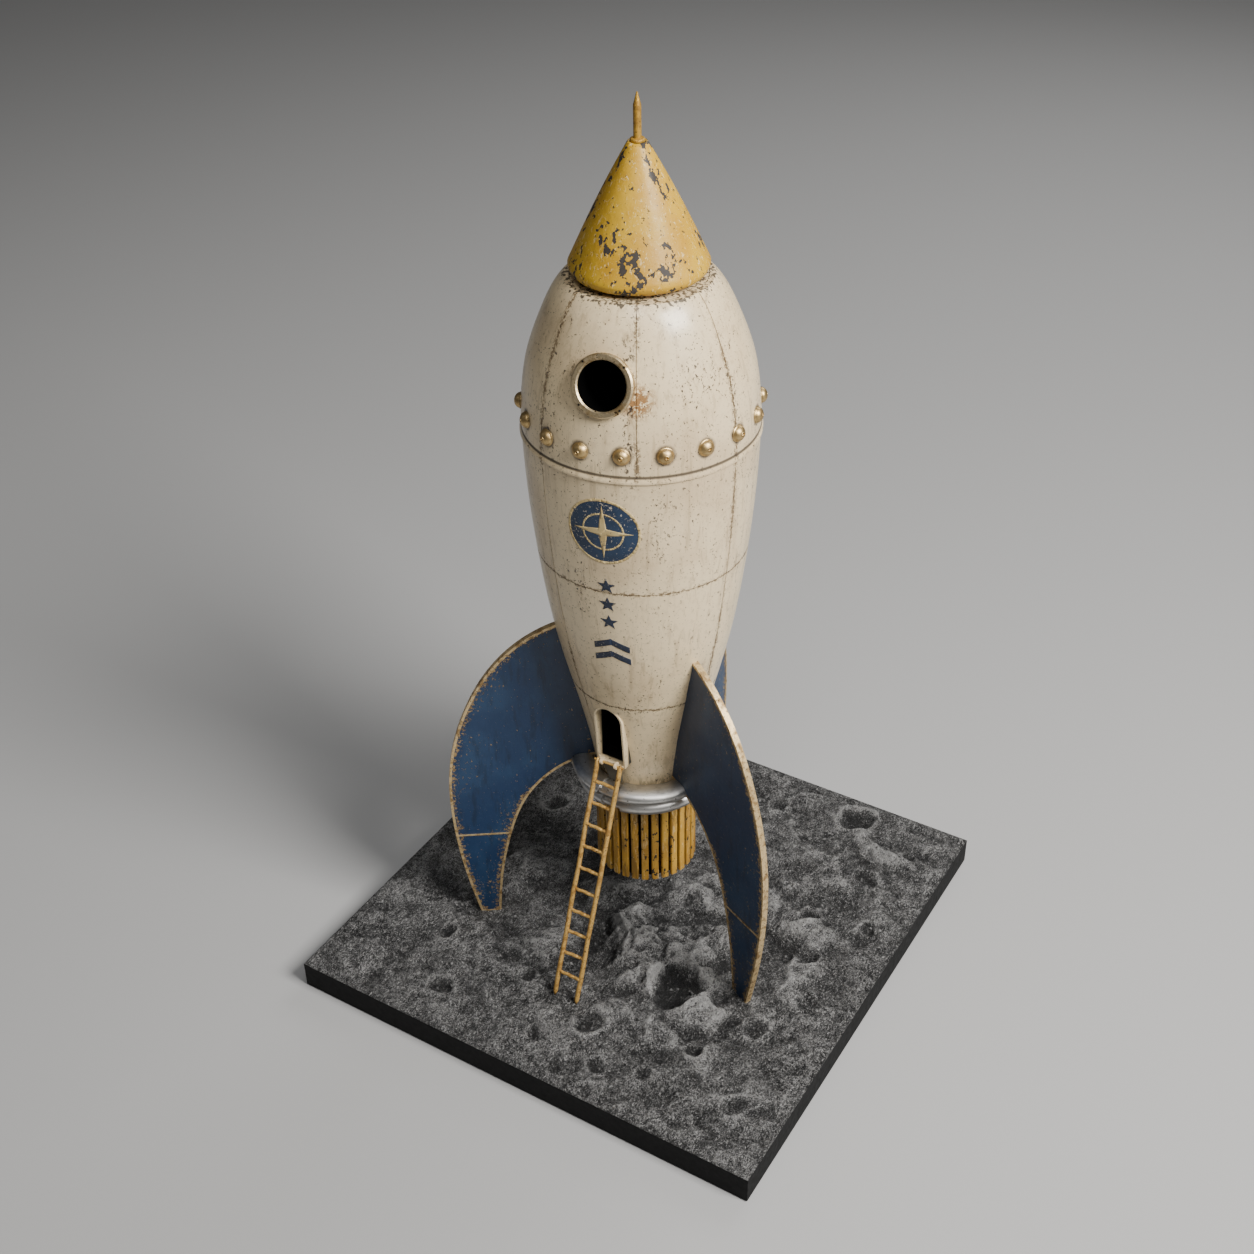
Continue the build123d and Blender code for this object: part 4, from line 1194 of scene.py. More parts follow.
# --------------------------------------------------------------------------- sub-assemblies
@dataclass
class MoonBase:
    """The square slab with its cast lunar relief and loose stones.

    The relief's own values are in millimetres. A noise is given as (cell, strength),
    a crater as (x, y, radius), a mound or valley as (x, y, half width, half depth,
    height), and a ladder foot as (x, y, radius).
    """

    nodes: Nodes
    side: float = 0.3
    cells: int = 290
    seed: int = 11
    least_thickness: float = 0.0005
    bare_rim: float = 0.003
    fade: float = 7.0
    warps: tuple[Point, ...] = ((26, 6), (10, 3.4), (4.5, 1.5))
    octaves: tuple[Point, ...] = ((60, 1.8), (30, 1.5), (15, 1.2), (8, 1.0), (4.6, 0.75), (2.8, 0.55))
    crags: tuple[Point, ...] = ((16, 0.26), (6, 0.17), (3.2, 0.09))
    craters: tuple[tuple[float, float, float], ...] = (
        (54, -56, 17), (82, 129, 11), (111, 82, 6.5), (97, 38, 7), (22, -104, 8.5), (106, -58, 7.5),
        (108, 6, 7.5), (-69, -124, 8), (-92, -86, 6.5), (-98, 48, 7), (30, 118, 7), (126, 116, 5),
        (-30, 104, 6), (66, -118, 6), (-30, -92, 5), (122, -110, 6), (-122, -20, 6), (42, 66, 6),
        (128, 44, 5), (-120, 110, 7), (40, -128, 5), (84, -92, 5), (126, -24, 5), (60, 100, 5),
        (-60, 120, 6), (-52, -100, 4.5), (0, -128, 4.5), (132, 78, 4))
    mounds: tuple[tuple[float, float, float, float, float], ...] = (
        (14, -34, 32, 24, 14.0), (24, -52, 20, 26, 11.0), (44, -26, 30, 18, 12.0), (4, -20, 24, 20, 10.0),
        (34, -62, 14, 20, 8.0), (62, -6, 28, 20, 7.0), (98, 24, 26, 17, 5.5), (84, 40, 22, 16, 4.0),
        (80, 84, 24, 16, 5.0), (92, 70, 16, 14, 3.5), (76, 58, 20, 14, 3.5), (-34, -62, 18, 26, 5.5),
        (-56, 40, 30, 22, 5.0), (74, -62, 18, 20, 9.0), (112, -16, 16, 22, 6.0), (-14, 72, 28, 32, 5.0),
        (58, -86, 20, 14, 5.0), (64, 30, 20, 16, 6.0), (34, 20, 26, 24, 8.0), (-88, -20, 24, 30, 4.0),
        (-18, -6, 22, 26, 6.0), (112, 104, 18, 14, 5.0), (96, 112, 10, 9, 4.0), (68, -38, 20, 14, 8.0),
        (36, -84, 18, 18, 4.0), (90, -92, 20, 16, 4.0))
    valleys: tuple[tuple[float, float, float, float, float], ...] = (
        (-8, -34, 10, 34, 5.0), (30, -76, 16, 8, 2.5), (86, 6, 10, 14, 3.0), (92, 48, 16, 8, 2.5),
        (-50, -30, 16, 14, 2.5))
    feet: tuple[tuple[float, float, float], ...] = ((-7.4, -94, 9), (7.4, -94, 9))

    @staticmethod
    def lattice(rng: np.random.Generator, x: np.ndarray, y: np.ndarray, cell: float) -> np.ndarray:
        """Smooth value noise between -1 and 1.

        Args:
            rng: Source of the lattice values.
            x: Grid of X positions in millimetres.
            y: Grid of Y positions in millimetres.
            cell: Size of a lattice cell in millimetres.

        Returns:
            The noise on the grid.
        """
        span = int(600 / cell) + 4
        knots = rng.uniform(-1, 1, (span, span))
        turn = cell * 1.7
        u = (x * math.cos(turn) + y * math.sin(turn) + 300) / cell
        v = (y * math.cos(turn) - x * math.sin(turn) + 300) / cell
        i, j = u.astype(int), v.astype(int)
        fu, fv = u - i, v - j
        fu, fv = fu * fu * (3 - 2 * fu), fv * fv * (3 - 2 * fv)
        low = knots[i, j] * (1 - fu) + knots[i + 1, j] * fu
        high = knots[i, j + 1] * (1 - fu) + knots[i + 1, j + 1] * fu
        return low * (1 - fv) + high * fv

    @staticmethod
    def gap(x: np.ndarray, y: np.ndarray, oval: Sequence[float]) -> np.ndarray:
        """Distance from an oval's middle, 1 on its outline."""
        middle_x, middle_y, wide, deep = oval
        return np.sqrt(((x - middle_x) / wide) ** 2 + ((y - middle_y) / deep) ** 2)

    def heights(self, x: np.ndarray, y: np.ndarray) -> np.ndarray:
        """Ground height above level, in millimetres.

        Args:
            x: Grid of X positions in millimetres.
            y: Grid of Y positions in millimetres.

        Returns:
            The heights.
        """
        rng = np.random.default_rng(self.seed)
        warp_x, warp_y = (line + sum(push * self.lattice(rng, x, y, cell) for cell, push in self.warps)
                          for line in (x, y))
        ground = np.zeros_like(x)
        for cell, strength in self.octaves:
            ridged = 1 - 2 * np.abs(self.lattice(rng, warp_x, warp_y, cell))
            ground += strength * (0.55 * ridged + 0.45 * self.lattice(rng, warp_x, warp_y, cell))
        mass = np.zeros_like(x)
        for *oval, tall in self.mounds:
            bump = np.clip(1.15 - self.gap(warp_x, warp_y, oval), 0, 1)
            mass = np.maximum(mass, tall * bump * bump * (3 - 2 * bump))
        rough = 0.72
        for cell, strength in self.crags:
            rough = rough + strength * (1 - 2 * np.abs(self.lattice(rng, warp_x, warp_y, cell)))
        ground += mass * rough
        for *oval, drop in self.valleys:
            ground -= drop * np.exp(-self.gap(warp_x, warp_y, oval) ** 2)
        # Craters follow the warp only in part, so that they stay round.
        near_x, near_y = warp_x * 0.55 + x * 0.45, warp_y * 0.55 + y * 0.45
        for middle_x, middle_y, radius in self.craters:
            gap = np.hypot(near_x - middle_x, near_y - middle_y) / radius
            bowl = -0.30 * radius * np.clip(1 - gap ** 2, 0, 1) ** 0.9
            rim = 0.13 * radius * np.exp(-((gap - 1.05) / 0.26) ** 2)
            ground = np.where(gap < 1, ground * (0.35 + 0.65 * gap), ground) + bowl + rim
        return ground

    def calm(self, x: np.ndarray, y: np.ndarray) -> np.ndarray:
        """Share of the relief that stays: none at the rim and under the feet.

        Args:
            x: Grid of X positions in millimetres.
            y: Grid of Y positions in millimetres.

        Returns:
            The share at each point.
        """
        inset = self.side / MM / 2 - np.maximum(np.abs(x), np.abs(y))
        share = np.clip(inset / self.fade, 0, 1) ** 0.6
        for foot_x, foot_y, radius in self.feet:
            gap = np.hypot(x - foot_x, y - foot_y)
            share = np.minimum(share, np.clip((gap - radius * 0.45) / radius, 0, 1))
        return share

    @staticmethod
    def relief_lighting(heights: np.ndarray) -> np.ndarray:
        """How far each point stands above or below the ground round it.

        Args:
            heights: Heights of the grid in millimetres.

        Returns:
            Values round 0.5, higher on rises and rims and lower in hollows, which the paint turns into
            painted light and shade.
        """
        relief_light = np.zeros_like(heights)
        rows, columns = heights.shape
        for reach, share in ((3, 0.5), (9, 0.9)):
            span = 2 * reach + 1
            smooth = heights
            for axis in (0, 1, 0, 1):
                margin = [(reach, reach) if k == axis else (0, 0) for k in (0, 1)]
                padded = np.pad(smooth, margin, "edge")
                smooth = sum(np.roll(padded, -k, axis) for k in range(span)) / span
                smooth = smooth[:rows, :columns]
            relief_light += share * (heights - smooth)
        return np.clip(0.5 + relief_light / 9, 0, 1)

    def soil(self) -> bpy.types.Object:
        """The cast ground, a closed block with black lacquered sides.

        Returns:
            The piece, with a point attribute that tells its paint where to paint light on the rises and shade
            in the hollows.
        """
        low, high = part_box("moon_soil")
        count = self.cells + 1
        line = np.linspace(-self.side / 2, self.side / 2, count) / MM
        x, y = np.meshgrid(line, line, indexing="ij")
        level = high[2] + MM * self.heights(x, y) * self.calm(x, y)
        z = np.maximum(level, low[2] + self.least_thickness)
        for foot_x, foot_y, radius in self.feet:
            near = np.hypot(x - foot_x, y - foot_y) < radius
            z = np.where(near, np.minimum(z, high[2] + 0.0001), z)
        top = np.stack([x * MM, y * MM, z], axis=-1).reshape(-1, 3)
        rim = [i * count for i in range(count)] + [(count - 1) * count + j for j in range(1, count)]
        rim += [i * count + count - 1 for i in range(count - 2, -1, -1)] + list(range(count - 2, 0, -1))
        base = len(top)
        under = [(top[k][0], top[k][1], low[2]) for k in rim]
        faces = [(i * count + j, (i + 1) * count + j, (i + 1) * count + j + 1, i * count + j + 1)
                 for i in range(count - 1) for j in range(count - 1)]
        land = len(faces)
        for k, here in enumerate(rim):
            after = (k + 1) % len(rim)
            faces.append((rim[after], here, base + k, base + after))
        faces.append(tuple(range(base + len(rim) - 1, base - 1, -1)))
        piece = new_piece("moon_surface", list(map(tuple, top)) + under, faces, [Look.ROCK, Look.LACQUER])
        for face in piece.data.polygons[land:]:
            face.material_index = 1
            face.use_smooth = False
        # The relief's rises and hollows, kept for painted light and shade.
        shade = piece.data.attributes.new("relief_light", "FLOAT", "POINT")
        values = np.full(len(piece.data.vertices), 0.5, dtype=np.float32)
        values[:base] = self.relief_lighting(z / MM).reshape(-1)
        shade.data.foreach_set("value", values)
        return keep(piece, "rocket", "moon_rock", "moon_soil", "moon_mounds")

    def stones(self, ground: bpy.types.Object) -> bpy.types.Object:
        """Loose stones strewn over the ground, but not at its rim or under the ladder's feet.

        Args:
            ground: The ground's piece.

        Returns:
            The piece.
        """
        work = bmesh.new()
        bmesh.ops.create_icosphere(work, subdivisions=1, radius=1.0)
        rng = np.random.default_rng(self.seed)
        for vertex in work.verts:
            vertex.co *= rng.uniform(0.7, 1.15)
            vertex.co.z *= 0.7
        template = from_bmesh("stone", work, Look.ROCK, smooth=False)
        piece = scatter_repeater().run("moon_stones", template, Look.STONE, self.seed, ground,
                                       Density=26000.0, Smallest=0.0003, Largest=0.0015)
        strewn = bmesh.new()
        strewn.from_mesh(piece.data)
        edge = self.side / 2 - self.bare_rim
        out = [v for v in strewn.verts if max(abs(v.co.x), abs(v.co.y)) > edge
               or any(math.hypot(v.co.x - foot_x * MM, v.co.y - foot_y * MM) < radius * MM
                      for foot_x, foot_y, radius in self.feet)]
        doomed = {v for vertex in out for v in self.island(vertex)}
        bmesh.ops.delete(strewn, geom=list(doomed), context="VERTS")
        strewn.to_mesh(piece.data)
        strewn.free()
        return keep(piece, "rocket", "moon_rock")

    @staticmethod
    def island(start: bmesh.types.BMVert) -> set[bmesh.types.BMVert]:
        """All vertices that are joined to one.

        Args:
            start: The vertex.

        Returns:
            The vertices, itself among them.
        """
        seen, queue = {start}, [start]
        while queue:
            for edge in queue.pop().link_edges:
                for vertex in edge.verts:
                    if vertex not in seen:
                        seen.add(vertex)
                        queue.append(vertex)
        return seen

    def build(self) -> None:
        """Make the base's pieces and dress its CAD nodes."""
        dress(self.nodes, Look.LACQUER, "base_slab")
        dress(self.nodes, Look.FELT, "base_felt")
        dress(self.nodes, Look.STEEL, "foot_pins")
        self.stones(self.soil())


def dress(nodes: Nodes, finish: Finish, *names: str) -> None:
    """Give CAD nodes a finish.

    Args:
        nodes: The frame's nodes.
        finish: The finish.
        *names: Names of the nodes.
    """
    for name in names:
        mesh = nodes[name].data
        mesh.materials.clear()
        mesh.materials.append(finish.material())


@dataclass
class Hull:
    """The riveted cream shells with their porthole, doorway and painted marks."""

    nodes: Nodes
    rivet_tilt: float = 5.5
    head_radius: float = 0.0044
    head_height: float = 0.0034
    badge_z: float = 0.3245
    badge_radius: float = 0.0183
    star_z: tuple[float, ...] = (0.2905, 0.2785, 0.2665)
    star_radius: float = 0.0049
    mark_z: tuple[float, ...] = (0.2505, 0.2420)
    # Depth in the doorway past which its reveal is painted in shade.
    doorway_shade_y: float = -0.0332
    skin: CadSkin = field(init=False)

    def __post_init__(self) -> None:
        """Index the lower hull, which the marks lie on."""
        self.skin = CadSkin(self.nodes["lower_hull"])

    def rivets(self) -> bpy.types.Object:
        """Domed blind rivets with a pinhole and a rolled rim.

        Returns:
            The piece.
        """
        r, h = self.head_radius, self.head_height
        profile = [(0.0, h - 0.0011), (0.00055, h - 0.0011), (0.00065, h - 0.0003), (0.00095, h - 0.00005)]
        arc = [math.radians(a) for a in range(12, 88, 9)]
        profile += [((r - 0.0003) * math.sin(a), h * math.cos(a)) for a in arc]
        profile += [(r - 0.0001, 0.0004), (r, 0.0001), (r - 0.0001, -0.0006), (0.0, -0.0006)]
        turned = Matrix.Rotation(math.pi / 2, 4, "Y")
        template = lathe_piece("rivet", profile, 28, Look.BRASS, turned)
        outside = CadSkin(self.nodes["dome_shell"]).at(LAYOUT.first_rivet + 10, LAYOUT.rivet_z)
        piece = ring_repeater().run("dome_rivets", template, Look.BRASS, 4, Count=LAYOUT.rivets,
                                    Radius=math.hypot(outside.x, outside.y), Height=LAYOUT.rivet_z,
                                    First=math.radians(LAYOUT.first_rivet),
                                    Tilt=math.radians(self.rivet_tilt), Spin=3.0)
        return keep(piece, "rocket", "rivet_brass", "rivets")

    def wrapped(self, name: str, outlines: Sequence[Sequence[Point]], height: float, finish: Finish,
                thick: float = 0.00012, lift: float = 0.00004) -> bpy.types.Object:
        """Thin painted shape that follows the hull.

        Args:
            name: Name of the piece.
            outlines: Closed outlines as (across, up) from the column, in metres.
            height: Height that up is counted from.
            finish: Its paint.
            thick: Thickness of the paint.
            lift: Gap to the hull.

        Returns:
            The piece.
        """
        work = bmesh.new()
        for outline in outlines:
            work.faces.new([work.verts.new((across, up, 0.0)) for across, up in outline])
        bmesh.ops.triangulate(work, faces=work.faces)
        # Cut into a fine grid, so that the shape can bend.
        span = max(abs(c) for outline in outlines for point in outline for c in point)
        step = 0.0011
        for axis in ((1, 0, 0), (0, 1, 0)):
            for i in range(-int(span / step), int(span / step) + 1):
                geometry = work.verts[:] + work.edges[:] + work.faces[:]
                bmesh.ops.bisect_plane(work, geom=geometry, plane_co=Vector(axis) * i * step, plane_no=axis)
        layers = [[self.on_hull(v.co.x, height + v.co.y, proud) for v in work.verts]
                  for proud in (lift + thick, lift - 0.0002)]
        work.verts.index_update()
        faces = [[v.index for v in f.verts] for f in work.faces]
        rims = [[v.index for v in e.verts] for e in work.edges if e.is_boundary]
        count = len(layers[0])
        work.free()
        solid = bmesh.new()
        made = [solid.verts.new(p) for layer in layers for p in layer]
        for face in faces:
            solid.faces.new([made[i] for i in face])
            solid.faces.new([made[i + count] for i in reversed(face)])
        for a, b in rims:
            solid.faces.new([made[a], made[b], made[b + count], made[a + count]])
        return keep(from_bmesh(name, solid, finish), "rocket", "hull_cream")

    def on_hull(self, across: float, height: float, proud: float) -> Vector:
        """Point on or off the hull.

        Args:
            across: Distance from the column, along the surface.
            height: Height above the ground.
            proud: How far to stand off the surface.

        Returns:
            The point.
        """
        middle = self.skin.at(LAYOUT.column, height)
        turn = math.degrees(across / math.hypot(middle.x, middle.y))
        return self.skin.at(LAYOUT.column + turn, height, proud)

    @staticmethod
    def star(tips: int, outer: float, inner: float, up: float = 0.0) -> list[Point]:
        """Outline of a star with one tip upwards.

        Args:
            tips: How many points it has.
            outer: Radius of the tips.
            inner: Radius of the notches.
            up: Height of its centre.

        Returns:
            The outline.
        """
        outline = []
        for i in range(2 * tips):
            reach = outer if i % 2 == 0 else inner
            angle = math.radians(90.0 + 180 * i / tips)
            outline.append((reach * math.cos(angle), up + reach * math.sin(angle)))
        return outline

    @staticmethod
    def ring(outer: float, inner: float, pieces: int = 48) -> list[list[Point]]:
        """Outlines of a flat ring, cut into sectors.

        Args:
            outer: Outer radius.
            inner: Inner radius.
            pieces: How many sectors.

        Returns:
            The outlines.
        """
        outlines = []
        for i in range(pieces):
            a, b = (FULL_TURN * k / pieces for k in (i, i + 1))
            outlines.append([(r * math.cos(turn), r * math.sin(turn))
                             for r, turn in ((inner, a), (outer, a), (outer, b), (inner, b))])
        return outlines

    def marks(self) -> None:
        """A plain compass badge, three stars and two chevrons."""
        r = self.badge_radius
        disc = [(r * math.cos(FULL_TURN * i / 72), r * math.sin(FULL_TURN * i / 72)) for i in range(72)]
        self.wrapped("badge_field", [disc], self.badge_z, Look.BADGE_BLUE)
        for name, outlines, lift in (("badge_rim", self.ring(r + 0.0009, r - 0.0004), 0.00010),
                                     ("badge_hoop", self.ring(r * 0.60, r * 0.55), 0.00008),
                                     ("badge_compass", [self.star(4, r * 0.86, r * 0.16)], 0.00010)):
            self.wrapped(name, outlines, self.badge_z, Look.BADGE_GOLD, lift=lift)
        stars = [self.star(5, self.star_radius, self.star_radius * 0.42, z - self.star_z[1])
                 for z in self.star_z]
        self.wrapped("hull_stars", stars, self.star_z[1], Look.INK)
        wide, tall, drop = 0.0098, 0.0042, 0.0046
        chevrons = []
        for z in self.mark_z:
            up = z - self.mark_z[0]
            chevrons += [[(-wide, up - drop), (0, up), (0, up + tall), (-wide, up + tall - drop)],
                         [(0, up), (wide, up - drop), (wide, up + tall - drop), (0, up + tall)]]
        self.wrapped("hull_chevrons", chevrons, self.mark_z[0], Look.INK)

    def leak(self) -> tuple[float, float, float]:
        """Where rust has run from the porthole's ring.

        Returns:
            The point.
        """
        low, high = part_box("porthole_ring")
        centre = Vector([(a + b) / 2 for a, b in zip(low, high)])
        turn = math.radians(LAYOUT.column)
        side = Vector((-math.sin(turn), math.cos(turn), 0))
        return tuple(centre + side * 0.0170 + Vector((0, 0, -0.0060)))

    def build(self) -> None:
        """Make the hull's pieces and dress its CAD nodes."""
        dress(self.nodes, HullEnamel("hull_cream", leak=self.leak()), "lower_hull", "seam_band", "dome_shell",
              "dome_neck")
        # The doorway's cream has painted shade deep in its reveal.
        dress(self.nodes, HullEnamel("doorway_cream_painted_shade", inside_y=self.doorway_shade_y), "door_portal", "door_sill")
        dress(self.nodes, Look.PALE_BRASS, "porthole_ring")
        dress(self.nodes, Look.SCREW, "porthole_screws")
        # Painted shade: the door pocket and porthole cup are near black.
        dress(self.nodes, Look.BLACK, "door_pocket", "porthole_cup")
        dress(self.nodes, Look.OLIVE, "door_apron")
        dress(self.nodes, Look.STEEL, "joint_ring", "thrust_plate")
        self.rivets()
        self.marks()


@dataclass
class Fins:
    """Three curved navy fins with worn gold edges."""

    nodes: Nodes
    directions: tuple[tuple[str, float], ...] = (("left", 215.0), ("right", -25.0), ("rear", 95.0))
    rows: int = 12
    reach: float = 0.13            # radius that a share of 1 stands for
    bay_radius: float = 0.062      # a place inside the fins' inner edges
    bay_height: float = 0.105      # the inner edges end here, at the hull

    def edges(self, side: str, direction: float) -> tuple[tuple[Point, ...], tuple[Point, ...], float, float]:
        """Outer and inner edge of a fin, read from its CAD panels.

        Args:
            side: Which fin.
            direction: Where it points.

        Returns:
            The outer and inner edge as (height share, radius share), and the lowest and
            highest height.
        """
        turn = math.radians(direction)
        out = Vector((math.cos(turn), math.sin(turn), 0))
        work = bmesh.new()
        for part in ("fin_panel", "fin_foot"):
            work.from_mesh(self.nodes[f"{part}_{side}"].data)
        tree = BVHTree.FromBMesh(work)
        work.free()
        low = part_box(f"fin_foot_{side}")[0][2]
        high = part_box(f"fin_panel_{side}")[1][2]
        outer, inner = [], []
        for i in range(self.rows):
            share = i / (self.rows - 1)
            z = min(max(low + (high - low) * share, low + 0.0004), high - 0.0006)
            far = tree.ray_cast(out * self.reach * 1.5 + Vector((0, 0, z)), -out)[0]
            near = tree.ray_cast(out * self.bay_radius + Vector((0, 0, z)), out)[0]
            if far:
                outer.append((share, far.dot(out) / self.reach))
            below_hull = near and z < low + self.bay_height
            inner.append((share, near.dot(out) / self.reach if below_hull else 0.2))
        return tuple(outer), tuple(inner), low, high

    def build(self) -> None:
        """Dress each fin."""
        for side, direction in self.directions:
            outer, inner, low, high = self.edges(side, direction)
            navy = FinEnamel(f"fin_blue_{side}", direction, outer, inner, low, high, self.reach)
            dress(self.nodes, navy, f"fin_panel_{side}", f"fin_foot_{side}")
            dress(self.nodes, Look.GOLD, f"fin_trim_{side}", f"foot_trim_{side}")
        dress(self.nodes, Look.GOLD, "fin_seam_strips")
        dress(self.nodes, Look.STEEL, "fin_dowels", "fin_lock_pins")


@dataclass
class Engine:
    """The steel rings and the slatted nozzle."""

    nodes: Nodes
    first: float = -61.0
    width: float = 0.0042
    depth: float = 0.0021
    corner: float = 0.0007
    waver: float = 0.00008

    def slat(self, length: float) -> bpy.types.Object:
        """One slat along Z, facing +X, with rounded corners and a hand-cut waver.

        Args:
            length: Its length.

        Returns:
            The template piece.
        """
        rng = np.random.default_rng(5)
        half = [(self.depth - self.corner + self.corner * math.cos(a),
                 self.width / 2 - self.corner + self.corner * math.sin(a))
                for a in (0.0, math.pi / 6, math.pi / 3, math.pi / 2)] + [(0.0, self.width / 2)]
        section = [(x, -y) for x, y in reversed(half)] + half
        rows = 15
        vertices, faces = [], []
        for row in range(rows + 1):
            shift = rng.uniform(-self.waver, self.waver)
            vertices += [(x + (shift if x > 0 else 0), y, length * row / rows) for x, y in section]
        count = len(section)
        for row in range(rows):
            for i in range(count):
                j = (i + 1) % count
                faces.append((row * count + i, row * count + j, (row + 1) * count + j, (row + 1) * count + i))
        faces.append(tuple(reversed(range(count))))
        faces.append(tuple(range(rows * count, (rows + 1) * count)))
        return new_piece("slat", vertices, faces, [Look.SLAT], smooth=False)

    def build(self) -> None:
        """Make the slats and dress the CAD nodes."""
        low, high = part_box("nozzle_slats")
        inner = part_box("nozzle_liner")[1][0] + 0.00002
        template = self.slat(high[2] - low[2])
        slats = ring_repeater().run("nozzle_slat_ring", template, Look.SLAT, 2, Count=LAYOUT.slats,
                                    Radius=inner, Height=low[2], First=math.radians(self.first), Tilt=0.0,
                                    Spin=0.0)
        keep(slats, "rocket", "slat_ochre", "nozzle_slats")
        dress(self.nodes, Look.RING, "upper_ring", "lower_ring", "ring_sleeves")
        dress(self.nodes, Look.STEEL, "nozzle_plate", "ring_spacer", "nozzle_hoop", "engine_bolts",
              "engine_nuts")
        # Painted shade: the nozzle's liner and throat are near black.
        dress(self.nodes, Look.BLACK, "nozzle_liner", "throat_tube")


@dataclass
class Nose:
    """The ochre nose cone, its spigot and the gold needle."""

    nodes: Nodes
    steps: int = 160
    rows: int = 26
    bulge: float = 0.0011
    lip_height: float = 0.0052

    def cone(self) -> bpy.types.Object:
        """The cone, faintly barrelled, with a rolled lip and a dished tip round the needle's collar.

        Returns:
            The piece.
        """
        low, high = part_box("nose_cone")
        reach = high[0]
        foot, tip = low[2], high[2]
        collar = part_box("needle_collar")[1][0]
        profile = [(0.0, tip - 0.0006), (collar + 0.0002, tip - 0.0006), (collar + 0.0004, tip - 0.0001)]
        narrow = collar + 0.0011
        lip = foot + self.lip_height
        for i in range(self.rows + 1):
            share = i / self.rows
            swell = self.bulge * math.sin(math.pi * share)
            profile.append((narrow + (reach - narrow) * share + swell * (1 - share * 0.4),
                            tip - (tip - lip) * share))
        for degrees in range(10, 91, 16):
            turn = math.radians(degrees)
            profile.append((reach - 0.0042 * (1 - math.cos(turn)), lip - 0.0046 * math.sin(turn)))
        profile += [(reach - 0.0052, foot + 0.0002), (reach - 0.0065, foot + 0.0012), (0.0, foot + 0.0012)]
        profile = [(min(r, reach), z) for r, z in profile]
        return lathe_piece("nose_cone_shell", profile, self.steps, Look.NOSE)

    def build(self) -> None:
        """Make the cone and dress the needle and spigot."""
        keep(self.cone(), "nose", "nose_ochre", "nose_cone")
        # Painted shade: the spigot in the gap under the nose cone is near black.
        dress(self.nodes, Look.BLACK, "nose_spigot")
        dress(self.nodes, Look.NEEDLE, "needle", "needle_collar")


@dataclass
class Ladder:
    """The hand-made ladder that hangs from the door sill."""

    nodes: Nodes
    rail_gap: float = 0.0148
    rail_radius: float = 0.0014
    rung_radius: float = 0.00100
    rungs: int = 10
    rung_first: float = 0.0124
    rung_pitch: float = 0.0135
    waver: float = 0.00022

    def ends(self) -> tuple[Vector, Vector]:
        """Centre of the ladder at its pivot and at its foot.

        Returns:
            The two points.
        """
        pin_low, pin_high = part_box("ladder_pin")
        rail_low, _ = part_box("ladder_rails")
        top = Vector((0, (pin_low[1] + pin_high[1]) / 2, (pin_low[2] + pin_high[2]) / 2))
        foot = Vector((0, rail_low[1], rail_low[2]))
        along = (foot - top).normalized()
        square = Vector((0, -along.z, along.y))
        # The box's corner is the rail's outer edge, half a rail away from its middle.
        return top, foot - square * self.rail_radius * (1 if square.y < 0 else -1)

    def rod(self, start: Vector, end: Vector, radius: float, seed: int, rows: int = 60,
            sides: int = 14) -> tuple[list[Vector], Faces]:
        """Round rod that wavers a little, closed with domed ends.

        Args:
            start: Centre of one end.
            end: Centre of the other end.
            radius: Its radius.
            seed: Seed of its waver.
            rows: Rings along it.
            sides: Faces round it.

        Returns:
            Vertices and faces.
        """
        rng = np.random.default_rng(seed)
        along = (end - start).normalized()
        side = Vector((1, 0, 0)) if abs(along.x) < 0.5 else Vector((0, 1, 0))
        lift = along.cross(side).normalized()
        side = lift.cross(along)
        knots = rng.uniform(-1, 1, (3, 12))
        places = np.linspace(0, 11, rows)
        drift = [np.interp(places, range(12), row) for row in knots]
        vertices: list[Vector] = []
        length = (end - start).length
        for i in range(rows):
            share = i / (rows - 1)
            from_end = min(share, 1 - share) * length
            taper = math.sqrt(1 - max(0.0, 1 - from_end / (radius * 0.7)) ** 2)
            girth = radius * (0.25 + 0.75 * taper) * (1 + 0.05 * drift[2][i])
            calm = min(1.0, from_end / (radius * 3))
            centre = start.lerp(end, share) + (side * drift[0][i] + lift * drift[1][i]) * self.waver * calm
            vertices += [centre + (side * math.cos(a) + lift * math.sin(a)) * girth
                         for a in (FULL_TURN * k / sides for k in range(sides))]
        faces: Faces = []
        for low in range(0, (rows - 1) * sides, sides):
            high = low + sides
            faces += [(low + k, low + (k + 1) % sides, high + (k + 1) % sides, high + k)
                      for k in range(sides)]
        faces += [tuple(reversed(range(sides))), tuple(range((rows - 1) * sides, rows * sides))]
        return vertices, faces

    def rod_piece(self, name: str, rods: Sequence[tuple[Vector, Vector, float, int]]) -> bpy.types.Object:
        """Piece made of one or more rods.

        Args:
            name: Name of the piece.
            rods: Start, end, radius and seed of each.

        Returns:
            The piece.
        """
        work = bmesh.new()
        for start, end, radius, seed in rods:
            vertices, faces = self.rod(start, end, radius, seed)
            made = [work.verts.new(v) for v in vertices]
            for face in faces:
                work.faces.new([made[i] for i in face])
        return from_bmesh(name, work, Look.LADDER)

    def build(self) -> None:
        """Make the rails and rungs and dress the pin."""
        top, foot = self.ends()
        along = (foot - top).normalized()
        half = Vector((self.rail_gap / 2, 0, 0))
        stub = top - along * 0.0016
        slack = along * 0.0002
        rails = self.rod_piece("ladder_rail_pair", [(stub - half, foot - half - slack, self.rail_radius, 21),
                                                    (stub + half, foot + half - slack, self.rail_radius, 22)])
        keep(rails, "ladder", "ladder_gold", "ladder_rails")
        template = self.rod_piece("rung", [(-half, half, self.rung_radius, 23)])
        rungs = line_repeater().run("ladder_rung_set", template, Look.LADDER, 9, Count=self.rungs,
                                    Start=top + along * self.rung_first, Step=along * self.rung_pitch,
                                    Turn=(0.0, 0.0, 0.0), Sway=0.030)
        keep(rungs, "ladder", "ladder_gold", "ladder_rungs")
        dress(self.nodes, Look.LADDER, "ladder_pin")


